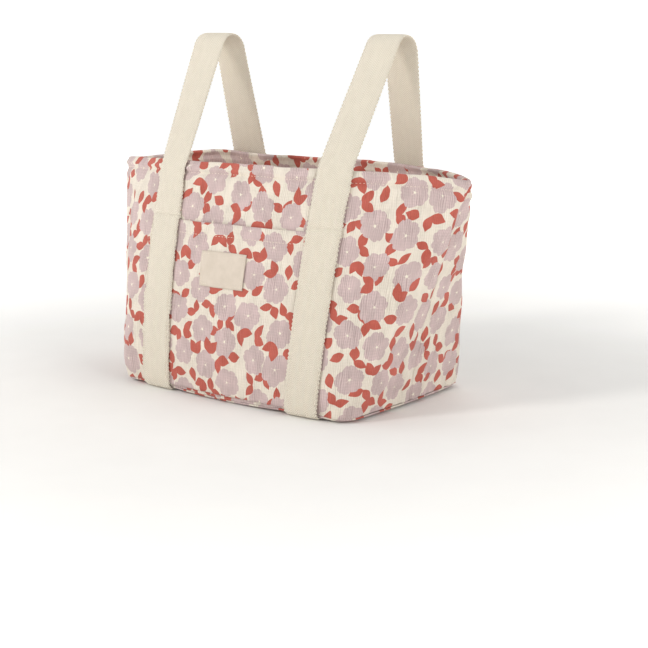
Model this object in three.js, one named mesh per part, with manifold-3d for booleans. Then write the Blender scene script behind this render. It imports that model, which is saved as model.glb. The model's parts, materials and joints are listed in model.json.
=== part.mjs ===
// A small diaper bag that hangs on a stroller's handlebar. Printed cotton outside, ecru lining,
// a zip closure sunk below the rim, and two cotton webbing straps that run up the front, over the
// handlebar and down the back, where they close with hook-and-loop pads.
// Millimetres, +Z up, front of the bag towards -Y. The origin is the middle of the box's underside.
import * as THREE from "three";
import Module from "manifold-3d";
import { mergeVertices } from "three/addons/utils/BufferGeometryUtils.js";

// ---- driving dimensions -------------------------------------------------------------------
const BASE = { halfWidth: 129, halfDepth: 83, cornerRadius: 16, frontBow: 6, sideBow: 4 };
const RIM = { halfWidth: 181, halfGap: 58, fullness: 3.3, corner: 191, frontCrest: 8, backCrest: 4 };
const BODY = { frontBulge: 3, sideBulge: 0.5, flare: 1.45, twist: THREE.MathUtils.degToRad(-5.5) };
const WEBBING = { width: 32, thickness: 2.2 };
const LEFT = { name: "left", centreAtBase: -77, centre: -82, centreAtBar: -90 };
const RIGHT = { name: "right", centreAtBase: 83, centre: 86, centreAtBar: 90 };
const BAR = { radius: 16.5, y: 24, z: 289 };
const GAP = 0.3; // clearance between pieces that touch
const FACET = 0.3; // further clearance where the facets of two pieces do not match
const LAYER = { outer: 1.5, wadding: 1.8, lining: 1, pocket: 1.2, label: 0.8, pad: 1.5 };
const POCKET = { halfWidth: 92, top: 151 };
const LABEL = { width: 47, height: 30, x: -8.5, z: 113 };
const INNER_POCKET = { halfWidth: 78, bottom: 14, top: 122 };
const PAD = { bottom: 98, top: 162 };
const STRAP_END = 94; // height of the webbing's free end, at the back
const SEWN_BACK_TOP = 166;
const ROOT = { gap: 1.5, rise: 1.2 }; // where each loop bends, above the front rim
const ZIP = {
  z: 176, // middle of the tape
  hinge: 38, // from the zip's line to where each half folds down
  halfLength: 118.5,
  tapeWidth: 11,
  teethWidth: 2.1,
  teethThickness: 2.6,
  slit: 1.8, // between the two rows of teeth
  cloth: 1.2,
  park: 125, // middle of the slider when the zip is closed
  tabStart: 127,
  tabEnd: 150,
};
const SLIDER = { length: 12, width: 10, plate: 1.2, post: 1.2, postLength: 3 };
const PULL = { length: 26, width: 8, thickness: 1.4, eye: 1.9 };

// ---- heights of the layers in the base ----------------------------------------------------
const UNDER_STRAP = WEBBING.thickness;
const BASE_BOTTOM = UNDER_STRAP + GAP;
const WALL_BOTTOM = BASE_BOTTOM + LAYER.outer + GAP;
const BOARD_THICKNESS = 2.5;

// ---- colours ------------------------------------------------------------------------------
const finish = (color, roughness, metalness = 0) =>
  new THREE.MeshStandardMaterial({ color, roughness, metalness });
const PRINT = finish(0xd9c3bb, 0.9);
const LINING = finish(0xe9e1cf, 0.9);
const WADDING = finish(0xf4f1ea, 1);
const COTTON = finish(0xe8dfc9, 0.85);
const LABEL_CLOTH = finish(0xe6d8c3, 0.8);
const BOARD = finish(0xd8d2c4, 0.7);
const PADS = finish(0xe2d9c6, 0.95);
const METAL = finish(0xc8a878, 0.35, 0.9);
const ZIP_CLOTH = finish(0xe6ddc8, 0.8);

const group = new THREE.Group();

function add(name, geometry, material) {
  const mesh = new THREE.Mesh(geometry, material);
  mesh.name = name;
  group.add(mesh);
  return mesh;
}

// ---- the body's surface -------------------------------------------------------------------
// Half of the base's outline, from the left seam round the front to the right seam: half of a
// rectangle with round corners, whose sides bow out a little.
function baseOutline(inset) {
  const w = BASE.halfWidth - inset;
  const d = BASE.halfDepth - inset;
  const r = BASE.cornerRadius - inset;
  const rectangle = new THREE.Path()
    .moveTo(-w, 0)
    .lineTo(-w, r - d)
    .absarc(r - w, r - d, r, Math.PI, 1.5 * Math.PI, false)
    .lineTo(w - r, -d)
    .absarc(w - r, r - d, r, 1.5 * Math.PI, 2 * Math.PI, false)
    .lineTo(w, 0);
  const bowed = rectangle.getSpacedPoints(80).map((p) => {
    const side = BASE.sideBow * (p.x / w) * (1 - (p.y / d) ** 2);
    const front = BASE.frontBow * (p.y / d) * (1 - (p.x / w) ** 2);
    return new THREE.Vector2(p.x + side, p.y + front);
  });
  return new THREE.SplineCurve(bowed);
}

// Half of the rim's outline, a blunt lens pinned at the two seams.
function rimOutline(inset) {
  const cornerSharpness = 1.5; // how much faster the pinned corners draw in than the sides
  const w = RIM.halfWidth - cornerSharpness * inset;
  const g = RIM.halfGap - inset;
  const points = [];
  const steps = 60;
  for (let i = 0; i <= steps; i++) {
    const c = Math.cos((Math.PI * i) / steps);
    points.push(new THREE.Vector2(-w * c, -g * (1 - Math.abs(c) ** RIM.fullness)));
  }
  return new THREE.SplineCurve(points);
}

// The outlines between base and rim are blended from both. Each outline is cut into short steps,
// the steps of the two are put in the order of their headings, and each is scaled by its
// outline's share, so that the body's edges run as straight from base to rim as stretched cloth.
const STEPS = 200;
function blendTable(inset) {
  const outlines = [baseOutline(inset), rimOutline(inset)].map((c) => c.getSpacedPoints(STEPS));
  const steps = outlines.flatMap((points, which) =>
    points.slice(1).map((p, i) => {
      const step = p.clone().sub(points[i]);
      return { which, step, length: step.length(), heading: Math.atan2(step.y, step.x) };
    }),
  );
  steps.sort((a, b) => a.heading - b.heading);
  const lengthOf = (kind) => steps.reduce((sum, s) => sum + (s.which === kind ? s.length : 0), 0);
  return { starts: outlines.map((points) => points[0]), steps, lengths: [lengthOf(0), lengthOf(1)] };
}

const tables = new Map();
// A point of the blended outline; k is the rim's share and f the fraction of its length.
function outlinePoint(inset, k, f) {
  if (!tables.has(inset)) tables.set(inset, blendTable(inset));
  const { starts, steps, lengths } = tables.get(inset);
  const shares = [1 - k, k];
  let left = f * (lengths[0] * shares[0] + lengths[1] * shares[1]);
  const p = starts[0].clone().lerp(starts[1], k);
  for (const { which, step, length } of steps) {
    const run = length * shares[which];
    if (run > left) return p.addScaledVector(step, left / length);
    p.addScaledVector(step, shares[which]);
    left -= run;
  }
  return p;
}
const HALF_CLOTH = baseOutline(0).getLength() / 2; // from the middle of the front to a seam

function rimHeight(side, t) {
  const crest = side > 0 ? RIM.frontCrest : RIM.backCrest;
  return RIM.corner + crest * (1 - t ** 4);
}

const riseAt = (side, t, z) => (z - WALL_BOTTOM) / (rimHeight(side, t) - WALL_BOTTOM);

function turned(x, y, angle) {
  return [x * Math.cos(angle) - y * Math.sin(angle), x * Math.sin(angle) + y * Math.cos(angle)];
}
const twistAt = (v) => BODY.twist * (1 - v);

// A point of the wall before the body's twist. side is 1 for the front, -1 for the back; t runs
// from -1 to 1 between the seams; v from 0 at the base to 1 at the rim; inset is inwards.
function plainPoint(t, v, inset) {
  const p = outlinePoint(inset, Math.max(v, 0) ** BODY.flare, (t + 1) / 2);
  const belly = 4 * v * (1 - v);
  p.x += BODY.sideBulge * belly * Math.sin((Math.PI / 2) * t);
  p.y -= BODY.frontBulge * belly * Math.cos((Math.PI / 2) * t);
  return p;
}

function wallPoint(side, t, v, inset) {
  const p = plainPoint(t, v, inset);
  const z = WALL_BOTTOM + v * (rimHeight(side, t) - WALL_BOTTOM);
  const [x, y] = turned(side * p.x, side * p.y, twistAt(v));
  return new THREE.Vector3(x, y, z);
}

// ---- bent slabs ---------------------------------------------------------------------------
// A slab whose corners are set by place(across, through, along), each from 0 to 1. Both of its
// faces are split along the same diagonals, so bent slabs nest inside one another.
function bentSlab(place, across, along) {
  const row = across + 1;
  const face = row * (along + 1);
  const vertices = [];
  for (const through of [0, 1]) {
    for (let c = 0; c <= along; c++) {
      for (let a = 0; a <= across; a++) vertices.push(...place(a / across, through, c / along));
    }
  }
  const indices = [];
  const quad = (p, q, r, s) => indices.push(p, q, r, p, r, s);
  for (let c = 0; c < along; c++) {
    for (let a = 0; a < across; a++) {
      const i = c * row + a;
      quad(i, i + 1, i + row + 1, i + row);
      quad(i + face, i + face + row, i + face + row + 1, i + face + 1);
    }
  }
  for (let i = 0; i < across; i++) {
    const j = i + along * row;
    quad(i, i + face, i + face + 1, i + 1);
    quad(j, j + 1, j + face + 1, j + face);
  }
  for (let i = 0; i < along * row; i += row) {
    const j = i + across;
    quad(i, i + row, i + row + face, i + face);
    quad(j, j + face, j + row + face, j + row);
  }
  const geometry = new THREE.BufferGeometry();
  geometry.setAttribute("position", new THREE.Float32BufferAttribute(vertices, 3));
  geometry.setIndex(indices);
  geometry.computeVertexNormals();
  return geometry;
}
const mix = THREE.MathUtils.lerp;

// A layer of the wall. bottom and top are heights, or null for the rim.
function wallLayer(side, [t0, t1], bottom, top, outside, thickness, across, along) {
  return bentSlab(
    (a, b, c) => {
      const t = mix(t0, t1, a);
      const low = riseAt(side, t, bottom);
      const high = top === null ? 1 : riseAt(side, t, top);
      return wallPoint(side, t, mix(low, high, c), outside + b * thickness);
    },
    across,
    along,
  );
}

const SEAM = 1 - GAP / 2 / HALF_CLOTH; // the panels stop just short of each other at the seams
const WADDING_INSET = LAYER.outer + GAP + 0.3;
const LINING_INSET = WADDING_INSET + LAYER.wadding + GAP;
const INNER_INSET = LINING_INSET + LAYER.lining + GAP;
// Facets from seam to seam and from base to rim, the same in each full layer so that they nest.
const ACROSS = 28;
const ROWS = 8;
const FACING_ROW = 6; // the facing covers the rows above this one
const halves = [
  ["front", 1],
  ["back", -1],
];

// A layer from seam to seam, between two rows. cut is how far it stops short, in rows.
function fullLayer(side, [first, last], [cutBelow, cutAbove], outside, thickness) {
  return bentSlab(
    (a, b, c) => {
      const row = mix(first, last, c) + (c === 0 ? cutBelow : 0) - (c === 1 ? cutAbove : 0);
      return wallPoint(side, mix(-SEAM, SEAM, a), row / ROWS, outside + b * thickness);
    },
    ACROSS,
    last - first,
  );
}

for (const [name, side] of halves) {
  const waddingCut = 0.04;
  const gapCut = 0.01;
  const whole = [0, ROWS];
  const below = [0, FACING_ROW];
  const above = [FACING_ROW, ROWS];
  const { outer, wadding, lining } = LAYER;
  add(`outer_${name}_panel`, fullLayer(side, whole, [0, 0], 0, outer), PRINT);
  add(`${name}_wadding`, fullLayer(side, whole, [0, waddingCut], WADDING_INSET, wadding), WADDING);
  add(`${name}_lining`, fullLayer(side, below, [0, gapCut], LINING_INSET, lining), LINING);
  add(`${name}_facing`, fullLayer(side, above, [gapCut, 0], LINING_INSET, lining), PRINT);
}

// ---- base ---------------------------------------------------------------------------------
function baseSlab(inset, bottom, thickness) {
  const half = baseOutline(inset).getSpacedPoints(28);
  const other = half.map((p) => new THREE.Vector2(-p.x, -p.y));
  const shape = new THREE.Shape([...half, ...other.slice(1, -1)]);
  return new THREE.ExtrudeGeometry(shape, { depth: thickness, bevelEnabled: false })
    .rotateZ(BODY.twist)
    .translate(0, 0, bottom);
}
add("outer_base_panel", baseSlab(0, BASE_BOTTOM, LAYER.outer), PRINT);
const BOARD_INSET = INNER_INSET + 1.2;
add("base_board", baseSlab(BOARD_INSET, WALL_BOTTOM, BOARD_THICKNESS), BOARD);
const BASE_LINING_BOTTOM = WALL_BOTTOM + BOARD_THICKNESS + GAP;
add("base_lining", baseSlab(BOARD_INSET, BASE_LINING_BOTTOM, LAYER.lining), LINING);

// ---- pockets and label --------------------------------------------------------------------
const POCKET_INSET = -(FACET + LAYER.pocket);
const onWall = (reach) => [-reach / HALF_CLOTH, reach / HALF_CLOTH];
add(
  "front_patch_pocket",
  wallLayer(1, onWall(POCKET.halfWidth), WALL_BOTTOM + 2, POCKET.top, POCKET_INSET, LAYER.pocket, 16, 6),
  PRINT,
);
add(
  "inner_slip_pocket",
  wallLayer(
    -1,
    onWall(INNER_POCKET.halfWidth),
    INNER_POCKET.bottom,
    INNER_POCKET.top,
    INNER_INSET + FACET,
    LAYER.lining,
    12,
    5,
  ),
  LINING,
);
const LABEL_INSET = POCKET_INSET - GAP - LAYER.label;
add(
  "label_patch",
  wallLayer(
    1,
    [(LABEL.x - LABEL.width / 2) / HALF_CLOTH, (LABEL.x + LABEL.width / 2) / HALF_CLOTH],
    LABEL.z - LABEL.height / 2,
    LABEL.z + LABEL.height / 2,
    LABEL_INSET,
    LAYER.label,
    4,
    3,
  ),
  LABEL_CLOTH,
);

// ---- webbing ------------------------------------------------------------------------------
// across runs from 0 to 1 over a strap's width.
const BAND_FACETS = 3;
const strapX = (centre, across, width) => centre + (across - 0.5) * width;

// The middle of a sewn strap at a height. It leans a little on its way down to the base: all the
// way from the rim on the front, and only below the pads on the back.
function middleAt(side, strap, z) {
  const straight = side > 0 ? RIM.corner : STRAP_END;
  const share = THREE.MathUtils.clamp((z - WALL_BOTTOM) / (straight - WALL_BOTTOM), 0, 1);
  return mix(strap.centreAtBase, strap.centre, share);
}

function sewnBand(side, strap, bottom, top, outside, thickness, width, along) {
  return bentSlab(
    (a, b, c) => {
      const z = mix(bottom, top, c);
      const t = (side * middleAt(side, strap, z) + (a - 0.5) * width) / HALF_CLOTH;
      return wallPoint(side, t, riseAt(side, t, z), outside + b * thickness);
    },
    BAND_FACETS,
    along,
  );
}

const FRONT_BAND = POCKET_INSET - FACET - WEBBING.thickness;
const BACK_BAND = -(FACET + WEBBING.thickness + 0.1);
const LOOP_PAD = BACK_BAND - GAP - LAYER.pad;
const HOOK_PAD = LOOP_PAD - GAP - LAYER.pad;
const FREE_END = HOOK_PAD - GAP - WEBBING.thickness;
const ROOT_Z = rimHeight(1, 0) + ROOT.rise;

// A line along the webbing that loops over the handlebar, in the middle of its thickness, before
// the body's twist. It starts above the front rim and ends low on the back.
function loopLine(strap, across) {
  const r = BAR.radius + GAP + WEBBING.thickness / 2;
  const x = strapX(strap.centre, across, WEBBING.width);
  const atBar = strapX(strap.centreAtBar, across, WEBBING.width);
  const front = plainPoint(x / HALF_CLOTH, 1, FRONT_BAND + WEBBING.thickness / 2);
  const backAt = (z) => {
    const t = -x / HALF_CLOTH;
    const v = Math.min(riseAt(-1, t, z), 1);
    const p = plainPoint(t, v, FREE_END + WEBBING.thickness / 2);
    return new THREE.Vector3(-p.x, -p.y, z);
  };
  const rim = backAt(rimHeight(-1, 0));
  // The angle of the point where a line from (y, z) touches the bar, on its front or its back.
  const touch = (y, z, front) => {
    const d = new THREE.Vector2(y - BAR.y, z - BAR.z);
    return Math.atan2(d.y, d.x) + (front ? -1 : 1) * Math.acos(r / d.length());
  };
  let start = touch(front.y, ROOT_Z, true);
  const end = touch(rim.y, rim.z, false);
  if (start < end) start += 2 * Math.PI;
  const points = [
    new THREE.Vector3(front.x, front.y + ROOT.gap * Math.sin(start), ROOT_Z - ROOT.gap * Math.cos(start)),
  ];
  const arcSteps = 12;
  for (let i = 0; i <= arcSteps; i++) {
    const a = mix(start, end, i / arcSteps);
    points.push(new THREE.Vector3(atBar, BAR.y + r * Math.cos(a), BAR.z + r * Math.sin(a)));
  }
  const backSteps = 6;
  for (let i = 0; i <= backSteps; i++) points.push(backAt(mix(rim.z, STRAP_END, i / backSteps)));
  return points;
}

function loopBand(strap) {
  const lines = [];
  for (let i = 0; i <= BAND_FACETS; i++) lines.push(loopLine(strap, i / BAND_FACETS));
  const last = lines[0].length - 1;
  return bentSlab(
    (a, b, c) => {
      const line = lines[Math.round(a * BAND_FACETS)];
      const i = Math.round(c * last);
      const way = line[Math.min(i + 1, last)].clone().sub(line[Math.max(i - 1, 0)]).setX(0).normalize();
      const into = new THREE.Vector3(0, way.z, -way.y);
      const p = line[i].clone().addScaledVector(into, (b - 0.5) * WEBBING.thickness);
      const rise = THREE.MathUtils.clamp(riseAt(-1, 0, line[i].z), 0, 1);
      const [x, y] = turned(p.x, p.y, twistAt(rise));
      return new THREE.Vector3(x, y, p.z);
    },
    BAND_FACETS,
    last,
  );
}

for (const strap of [LEFT, RIGHT]) {
  const { name } = strap;
  const { width, thickness } = WEBBING;
  const padWidth = width - 4;
  const frontTop = ROOT_Z - ROOT.rise + 0.3;
  add(`strap_${name}_front`, sewnBand(1, strap, WALL_BOTTOM, frontTop, FRONT_BAND, thickness, width, 8), COTTON);
  add(
    `strap_${name}_back`,
    sewnBand(-1, strap, WALL_BOTTOM, SEWN_BACK_TOP, BACK_BAND, thickness, width, 7),
    COTTON,
  );
  const run = new THREE.BoxGeometry(width, 2 * BASE.halfDepth, thickness)
    .translate(strap.centreAtBase, 0, thickness / 2)
    .rotateZ(BODY.twist);
  add(`strap_${name}_base`, run, COTTON);
  add(`strap_${name}_loop`, loopBand(strap), COTTON);
  add(
    `fastener_loop_pad_${name}`,
    sewnBand(-1, strap, PAD.bottom, PAD.top, LOOP_PAD, LAYER.pad, padWidth, 4),
    PADS,
  );
  add(
    `fastener_hook_pad_${name}`,
    sewnBand(-1, strap, PAD.bottom + 2, PAD.top - 2, HOOK_PAD, LAYER.pad, padWidth, 4),
    PADS,
  );
}

// ---- zip closure --------------------------------------------------------------------------
// Cloth between the facing and the line where each half of the closure folds down.
function zipBorder(side) {
  const armHalf = 15;
  const clear = GAP + 1;
  const points = [];
  const skipped = 3; // facets of the facing left bare at each end
  for (let i = skipped; i <= ACROSS - skipped; i++) {
    const t = mix(-SEAM, SEAM, i / ACROSS);
    const p = wallPoint(side, t, riseAt(side, t, ZIP.z), INNER_INSET + clear);
    points.push(new THREE.Vector2(side * p.x, side * p.y));
  }
  const [first, last] = [points[0], points[points.length - 1]];
  const inner = [
    [last.x, -armHalf],
    [ZIP.halfLength + GAP, -armHalf],
    [ZIP.halfLength + GAP, -ZIP.hinge],
    [-ZIP.halfLength - GAP, -ZIP.hinge],
    [-ZIP.halfLength - GAP, -armHalf],
    [first.x, -armHalf],
  ].map(([x, y]) => new THREE.Vector2(x, y));
  return new THREE.ExtrudeGeometry(new THREE.Shape([...points, ...inner]), {
    depth: ZIP.cloth,
    bevelEnabled: false,
  })
    .translate(0, 0, ZIP.z - ZIP.cloth / 2)
    .rotateZ(side > 0 ? 0 : Math.PI);
}

function plate(x0, x1, y0, y1, thickness, z = ZIP.z) {
  return new THREE.BoxGeometry(x1 - x0, y1 - y0, thickness).translate(
    (x0 + x1) / 2,
    (y0 + y1) / 2,
    z,
  );
}

const TEETH_OUT = ZIP.slit / 2 + ZIP.teethWidth;
const TAPE_IN = TEETH_OUT + GAP;
const TAPE_OUT = TAPE_IN + ZIP.tapeWidth;
const FLAP_OUT = ZIP.hinge - 1; // leaves the fold its room
const CLOTH_IN = TAPE_OUT + GAP;
for (const [name, side] of halves) {
  const turn = side > 0 ? 0 : Math.PI;
  const reach = ZIP.halfLength;
  const strip = (near, far, thickness) => plate(-reach, reach, -far, -near, thickness).rotateZ(turn);
  add(`zip_border_${name}`, zipBorder(side), PRINT);
  add(`zip_flap_${name}`, strip(CLOTH_IN, FLAP_OUT, ZIP.cloth), PRINT);
  add(`zip_tape_${name}`, strip(TAPE_IN, TAPE_OUT, ZIP.cloth), ZIP_CLOTH);
  add(`zip_teeth_${name}`, strip(ZIP.slit / 2, TEETH_OUT, ZIP.teethThickness), ZIP_CLOTH);
}

// A fork of cloth that ends the zip and leaves the slider room between its arms.
function endTab(hand) {
  const arm = 14.6;
  const forkHalf = SLIDER.width / 2 + 0.8;
  const outline = [
    [ZIP.halfLength + 2 * GAP, -arm],
    [ZIP.tabEnd, -arm],
    [ZIP.tabEnd, arm],
    [ZIP.halfLength + 2 * GAP, arm],
    [ZIP.halfLength + 2 * GAP, forkHalf],
    [ZIP.tabStart, forkHalf],
    [ZIP.tabStart, -forkHalf],
    [ZIP.halfLength + 2 * GAP, -forkHalf],
  ].map(([x, y]) => new THREE.Vector2(x, y));
  return new THREE.ExtrudeGeometry(new THREE.Shape(outline), { depth: ZIP.cloth, bevelEnabled: false })
    .translate(0, 0, ZIP.z - ZIP.cloth / 2)
    .rotateZ(hand > 0 ? 0 : Math.PI);
}
add("zip_end_tab_right", endTab(1), PRINT);
add("zip_end_tab_left", endTab(-1), PRINT);

// The slider: two wings joined by a post that runs in the slit, and a bridge that holds the pull.
const wasm = await Module();
wasm.setup();

function solidOf(geometry) {
  const merged = mergeVertices(new THREE.BufferGeometry().copy(geometry).deleteAttribute("normal")
    .deleteAttribute("uv"), 1e-5);
  return new wasm.Manifold(
    new wasm.Mesh({
      numProp: 3,
      vertProperties: Float32Array.from(merged.getAttribute("position").array),
      triVerts: Uint32Array.from(merged.getIndex().array),
    }),
  );
}

function geometryOf(solid) {
  const mesh = solid.getMesh();
  const geometry = new THREE.BufferGeometry();
  geometry.setAttribute("position", new THREE.Float32BufferAttribute(mesh.vertProperties, 3));
  geometry.setIndex([...mesh.triVerts]);
  geometry.computeVertexNormals();
  return geometry;
}

const joined = (pieces) => geometryOf(pieces.map(solidOf).reduce((a, b) => a.add(b)));

const CHANNEL = ZIP.teethThickness / 2 + GAP;
const WING_TOP = CHANNEL + SLIDER.plate;
const BRIDGE = { halfWidth: 1, halfLength: 3.5, leg: 1, height: 3.8, beam: 1 };
const overlap = 0.2; // how far joined pieces of the slider reach into each other

function sliderSolid() {
  const half = SLIDER.length / 2;
  const wing = SLIDER.width / 2;
  const wingAt = (z) => plate(-half, half, -wing, wing, SLIDER.plate, z);
  const middle = CHANNEL + SLIDER.plate / 2;
  const post = plate(
    -SLIDER.postLength / 2,
    SLIDER.postLength / 2,
    -SLIDER.post / 2,
    SLIDER.post / 2,
    2 * (CHANNEL + overlap),
    0,
  );
  const legHeight = BRIDGE.height + overlap;
  const legAt = (x) =>
    plate(
      x - BRIDGE.leg / 2,
      x + BRIDGE.leg / 2,
      -BRIDGE.halfWidth,
      BRIDGE.halfWidth,
      legHeight,
      WING_TOP - overlap + legHeight / 2,
    );
  const beam = plate(
    -BRIDGE.halfLength,
    BRIDGE.halfLength,
    -BRIDGE.halfWidth,
    BRIDGE.halfWidth,
    BRIDGE.beam,
    WING_TOP + BRIDGE.height - BRIDGE.beam / 2,
  );
  const legX = BRIDGE.halfLength - BRIDGE.leg / 2;
  return joined([wingAt(middle), wingAt(-middle), post, legAt(legX), legAt(-legX), beam]);
}
add("zip_slider", sliderSolid().translate(ZIP.park, 0, ZIP.z), METAL);

// The pull: a tab with an eye whose end bar is caught under the slider's bridge.
function pullSolid() {
  const half = PULL.width / 2;
  const eyeHalf = BRIDGE.halfWidth + 0.5;
  const bar = PULL.thickness / 2;
  const outline = new THREE.Shape()
    .moveTo(-bar, -half + 1)
    .lineTo(PULL.eye + 3, -half)
    .lineTo(PULL.length - 3, -half + 1)
    .absarc(PULL.length - 3, 0, half - 1, -Math.PI / 2, Math.PI / 2, false)
    .lineTo(PULL.eye + 3, half)
    .lineTo(-bar, half - 1);
  outline.holes.push(
    new THREE.Path()
      .moveTo(bar, -eyeHalf)
      .lineTo(bar, eyeHalf)
      .lineTo(PULL.eye + 3, eyeHalf)
      .lineTo(PULL.eye + 3, -eyeHalf),
  );
  return new THREE.ExtrudeGeometry(outline, {
    depth: PULL.thickness,
    bevelEnabled: false,
    curveSegments: 8,
  }).translate(0, 0, -PULL.thickness / 2);
}
const PULL_AXIS = WING_TOP + 1.5;
add("zip_pull", pullSolid().rotateZ(Math.PI).translate(ZIP.park, 0, ZIP.z + PULL_AXIS), METAL);

export default group;
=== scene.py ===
"""A padded cotton diaper bag with webbing straps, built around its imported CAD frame.

Shapes are worked out in millimetres and made in metres. The bag's walls are lofted from the base's
outline to the rim's outline, and every layer sewn to them follows the same surface and wrinkles.
"""

import json
import math

import bpy
import numpy as np
from mathutils import Matrix, Vector


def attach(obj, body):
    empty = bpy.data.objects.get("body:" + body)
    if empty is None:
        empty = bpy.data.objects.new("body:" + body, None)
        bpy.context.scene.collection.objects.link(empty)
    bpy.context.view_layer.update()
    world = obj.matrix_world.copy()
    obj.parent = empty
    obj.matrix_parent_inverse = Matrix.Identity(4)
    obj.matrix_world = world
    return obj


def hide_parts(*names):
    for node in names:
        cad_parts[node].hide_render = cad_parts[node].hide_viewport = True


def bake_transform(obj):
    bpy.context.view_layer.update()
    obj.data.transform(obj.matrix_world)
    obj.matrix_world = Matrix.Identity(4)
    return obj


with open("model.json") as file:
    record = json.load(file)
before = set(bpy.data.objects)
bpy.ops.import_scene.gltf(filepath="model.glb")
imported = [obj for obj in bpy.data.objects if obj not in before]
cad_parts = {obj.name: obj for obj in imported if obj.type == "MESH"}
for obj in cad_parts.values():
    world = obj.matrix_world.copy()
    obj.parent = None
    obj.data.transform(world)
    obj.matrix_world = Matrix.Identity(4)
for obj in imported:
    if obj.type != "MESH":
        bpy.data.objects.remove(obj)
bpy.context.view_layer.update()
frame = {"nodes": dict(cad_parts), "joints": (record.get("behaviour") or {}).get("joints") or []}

MM = 0.001

# ---- dimensions, in millimetres, as in the CAD model ----
BASE_HALF_WIDTH = 129
BASE_HALF_DEPTH = 83
BASE_CORNER = 16
BASE_FRONT_BOW = 6
BASE_SIDE_BOW = 4
RIM_HALF_WIDTH = 181
RIM_HALF_GAP = 58
RIM_FULLNESS = 3.3
RIM_CORNER_Z = 191
SIDES = (("front", 1), ("back", -1))
CREST = {1: 8, -1: 4.6}  # how much higher the middle of the rim is, front and back
FRONT_BULGE = 3
SIDE_BULGE = 0.5
FLARE = 1.45
TWIST = math.radians(-5.5)
WALL_BOTTOM = 4.3
BASE_BOTTOM = 2.5
WEB_WIDTH = 32
WEB_THICKNESS = 2.2
HALF_WEB = WEB_THICKNESS / 2
STRAPS = {"left": (-77, -82, -90), "right": (83, 86, 90)}  # middle at base, at rim and at bar
HALF_SPAN = 62  # half the stretch that sags between the straps
BETWEEN = 68  # half the width between the straps' inner edges
BAR_RADIUS = 16.5
BAR_Y = 24
BAR_Z = 289
GAP = 0.3  # between pieces that touch
FACET = 0.3  # further room where the facets of two CAD pieces don't match
OUTER = 1.5
WADDING_INSET = OUTER + GAP + 0.3
WADDING = 1.8
LINING_INSET = WADDING_INSET + WADDING + GAP
LINING = 1
INNER_INSET = LINING_INSET + LINING + GAP
POCKET = 1.2
POCKET_INSET = -(FACET + POCKET)
POCKET_HALF = 92
POCKET_TOP = 151
POCKET_FREE = (-66, 68)  # the part that the straps don't hold down
LABEL = 0.8
LABEL_X = -8.5
LABEL_Z = 113
LABEL_SIZE = (47, 30)
LABEL_INSET = POCKET_INSET - GAP - LABEL
FRONT_BAND = POCKET_INSET - FACET - WEB_THICKNESS
BACK_BAND = -(FACET + WEB_THICKNESS + 0.1)
PAD = 1.5
LOOP_PAD = BACK_BAND - GAP - PAD
HOOK_PAD = LOOP_PAD - GAP - PAD
FREE_END = HOOK_PAD - GAP - WEB_THICKNESS
PAD_WIDTH = 28
PAD_BOTTOM = 98
PAD_TOP = 162
STRAP_END = 94
SEWN_BACK_TOP = 166
TACK_TOP = 154  # the straps' crosswise row of stitches
TACK_DEPTH = 1.2
HEM = 7.5
POCKET_HEM = 10.5
FACING_V = 0.75
ZIP_Z = 176


# ---- smooth noise ----
def noise(x, y, seed):
    """Smooth noise from -1 to 1 on a lattice of spacing 1."""
    table = np.random.default_rng(seed).uniform(-1, 1, (97, 89))
    xi = np.floor(x).astype(int)
    yi = np.floor(y).astype(int)
    fx = x - xi
    fy = y - yi
    fx = fx * fx * (3 - 2 * fx)
    fy = fy * fy * (3 - 2 * fy)

    def at(i, j):
        return table[(xi + i) % 97, (yi + j) % 89]

    low = at(0, 0) * (1 - fx) + at(1, 0) * fx
    high = at(0, 1) * (1 - fx) + at(1, 1) * fx
    return low * (1 - fy) + high * fy


def bell(x, width):
    return np.exp(-((x / width) ** 2))


# ---- the walls' surface ----
def base_outline(inset):
    """Half of the base's outline, left seam to right seam round the front, as points."""
    w = BASE_HALF_WIDTH - inset
    d = BASE_HALF_DEPTH - inset
    r = BASE_CORNER - inset
    corner = np.linspace(0, math.pi / 2, 24)
    left = np.c_[(r - w) - r * np.cos(corner), (r - d) - r * np.sin(corner)]
    right = np.c_[-left[::-1, 0], left[::-1, 1]]
    side = np.c_[np.full(24, -w), np.linspace(0, r - d, 24)]
    front = np.c_[np.linspace(r - w, w - r, 60), np.full(60, -d)]
    other = np.c_[np.full(24, w), np.linspace(r - d, 0, 24)]
    p = np.vstack([side[:-1], left, front[1:-1], right, other[1:]])
    x = p[:, 0] + BASE_SIDE_BOW * (p[:, 0] / w) * (1 - (p[:, 1] / d) ** 2)
    y = p[:, 1] + BASE_FRONT_BOW * (p[:, 1] / d) * (1 - (p[:, 0] / w) ** 2)
    return np.c_[x, y]


def rim_outline(inset):
    """Half of the rim's outline, a blunt lens."""
    c = np.cos(np.linspace(0, math.pi, 241))
    w = RIM_HALF_WIDTH - 1.5 * inset
    g = RIM_HALF_GAP - inset
    return np.c_[-w * c, -g * (1 - np.abs(c) ** RIM_FULLNESS)]


TABLES = {}


def spaced(points, count):
    """Points at even distances along a line of points."""
    run = np.r_[0, np.cumsum(np.hypot(*np.diff(points, axis=0).T))]
    at = np.linspace(0, run[-1], count)
    return np.c_[np.interp(at, run, points[:, 0]), np.interp(at, run, points[:, 1])]


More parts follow.
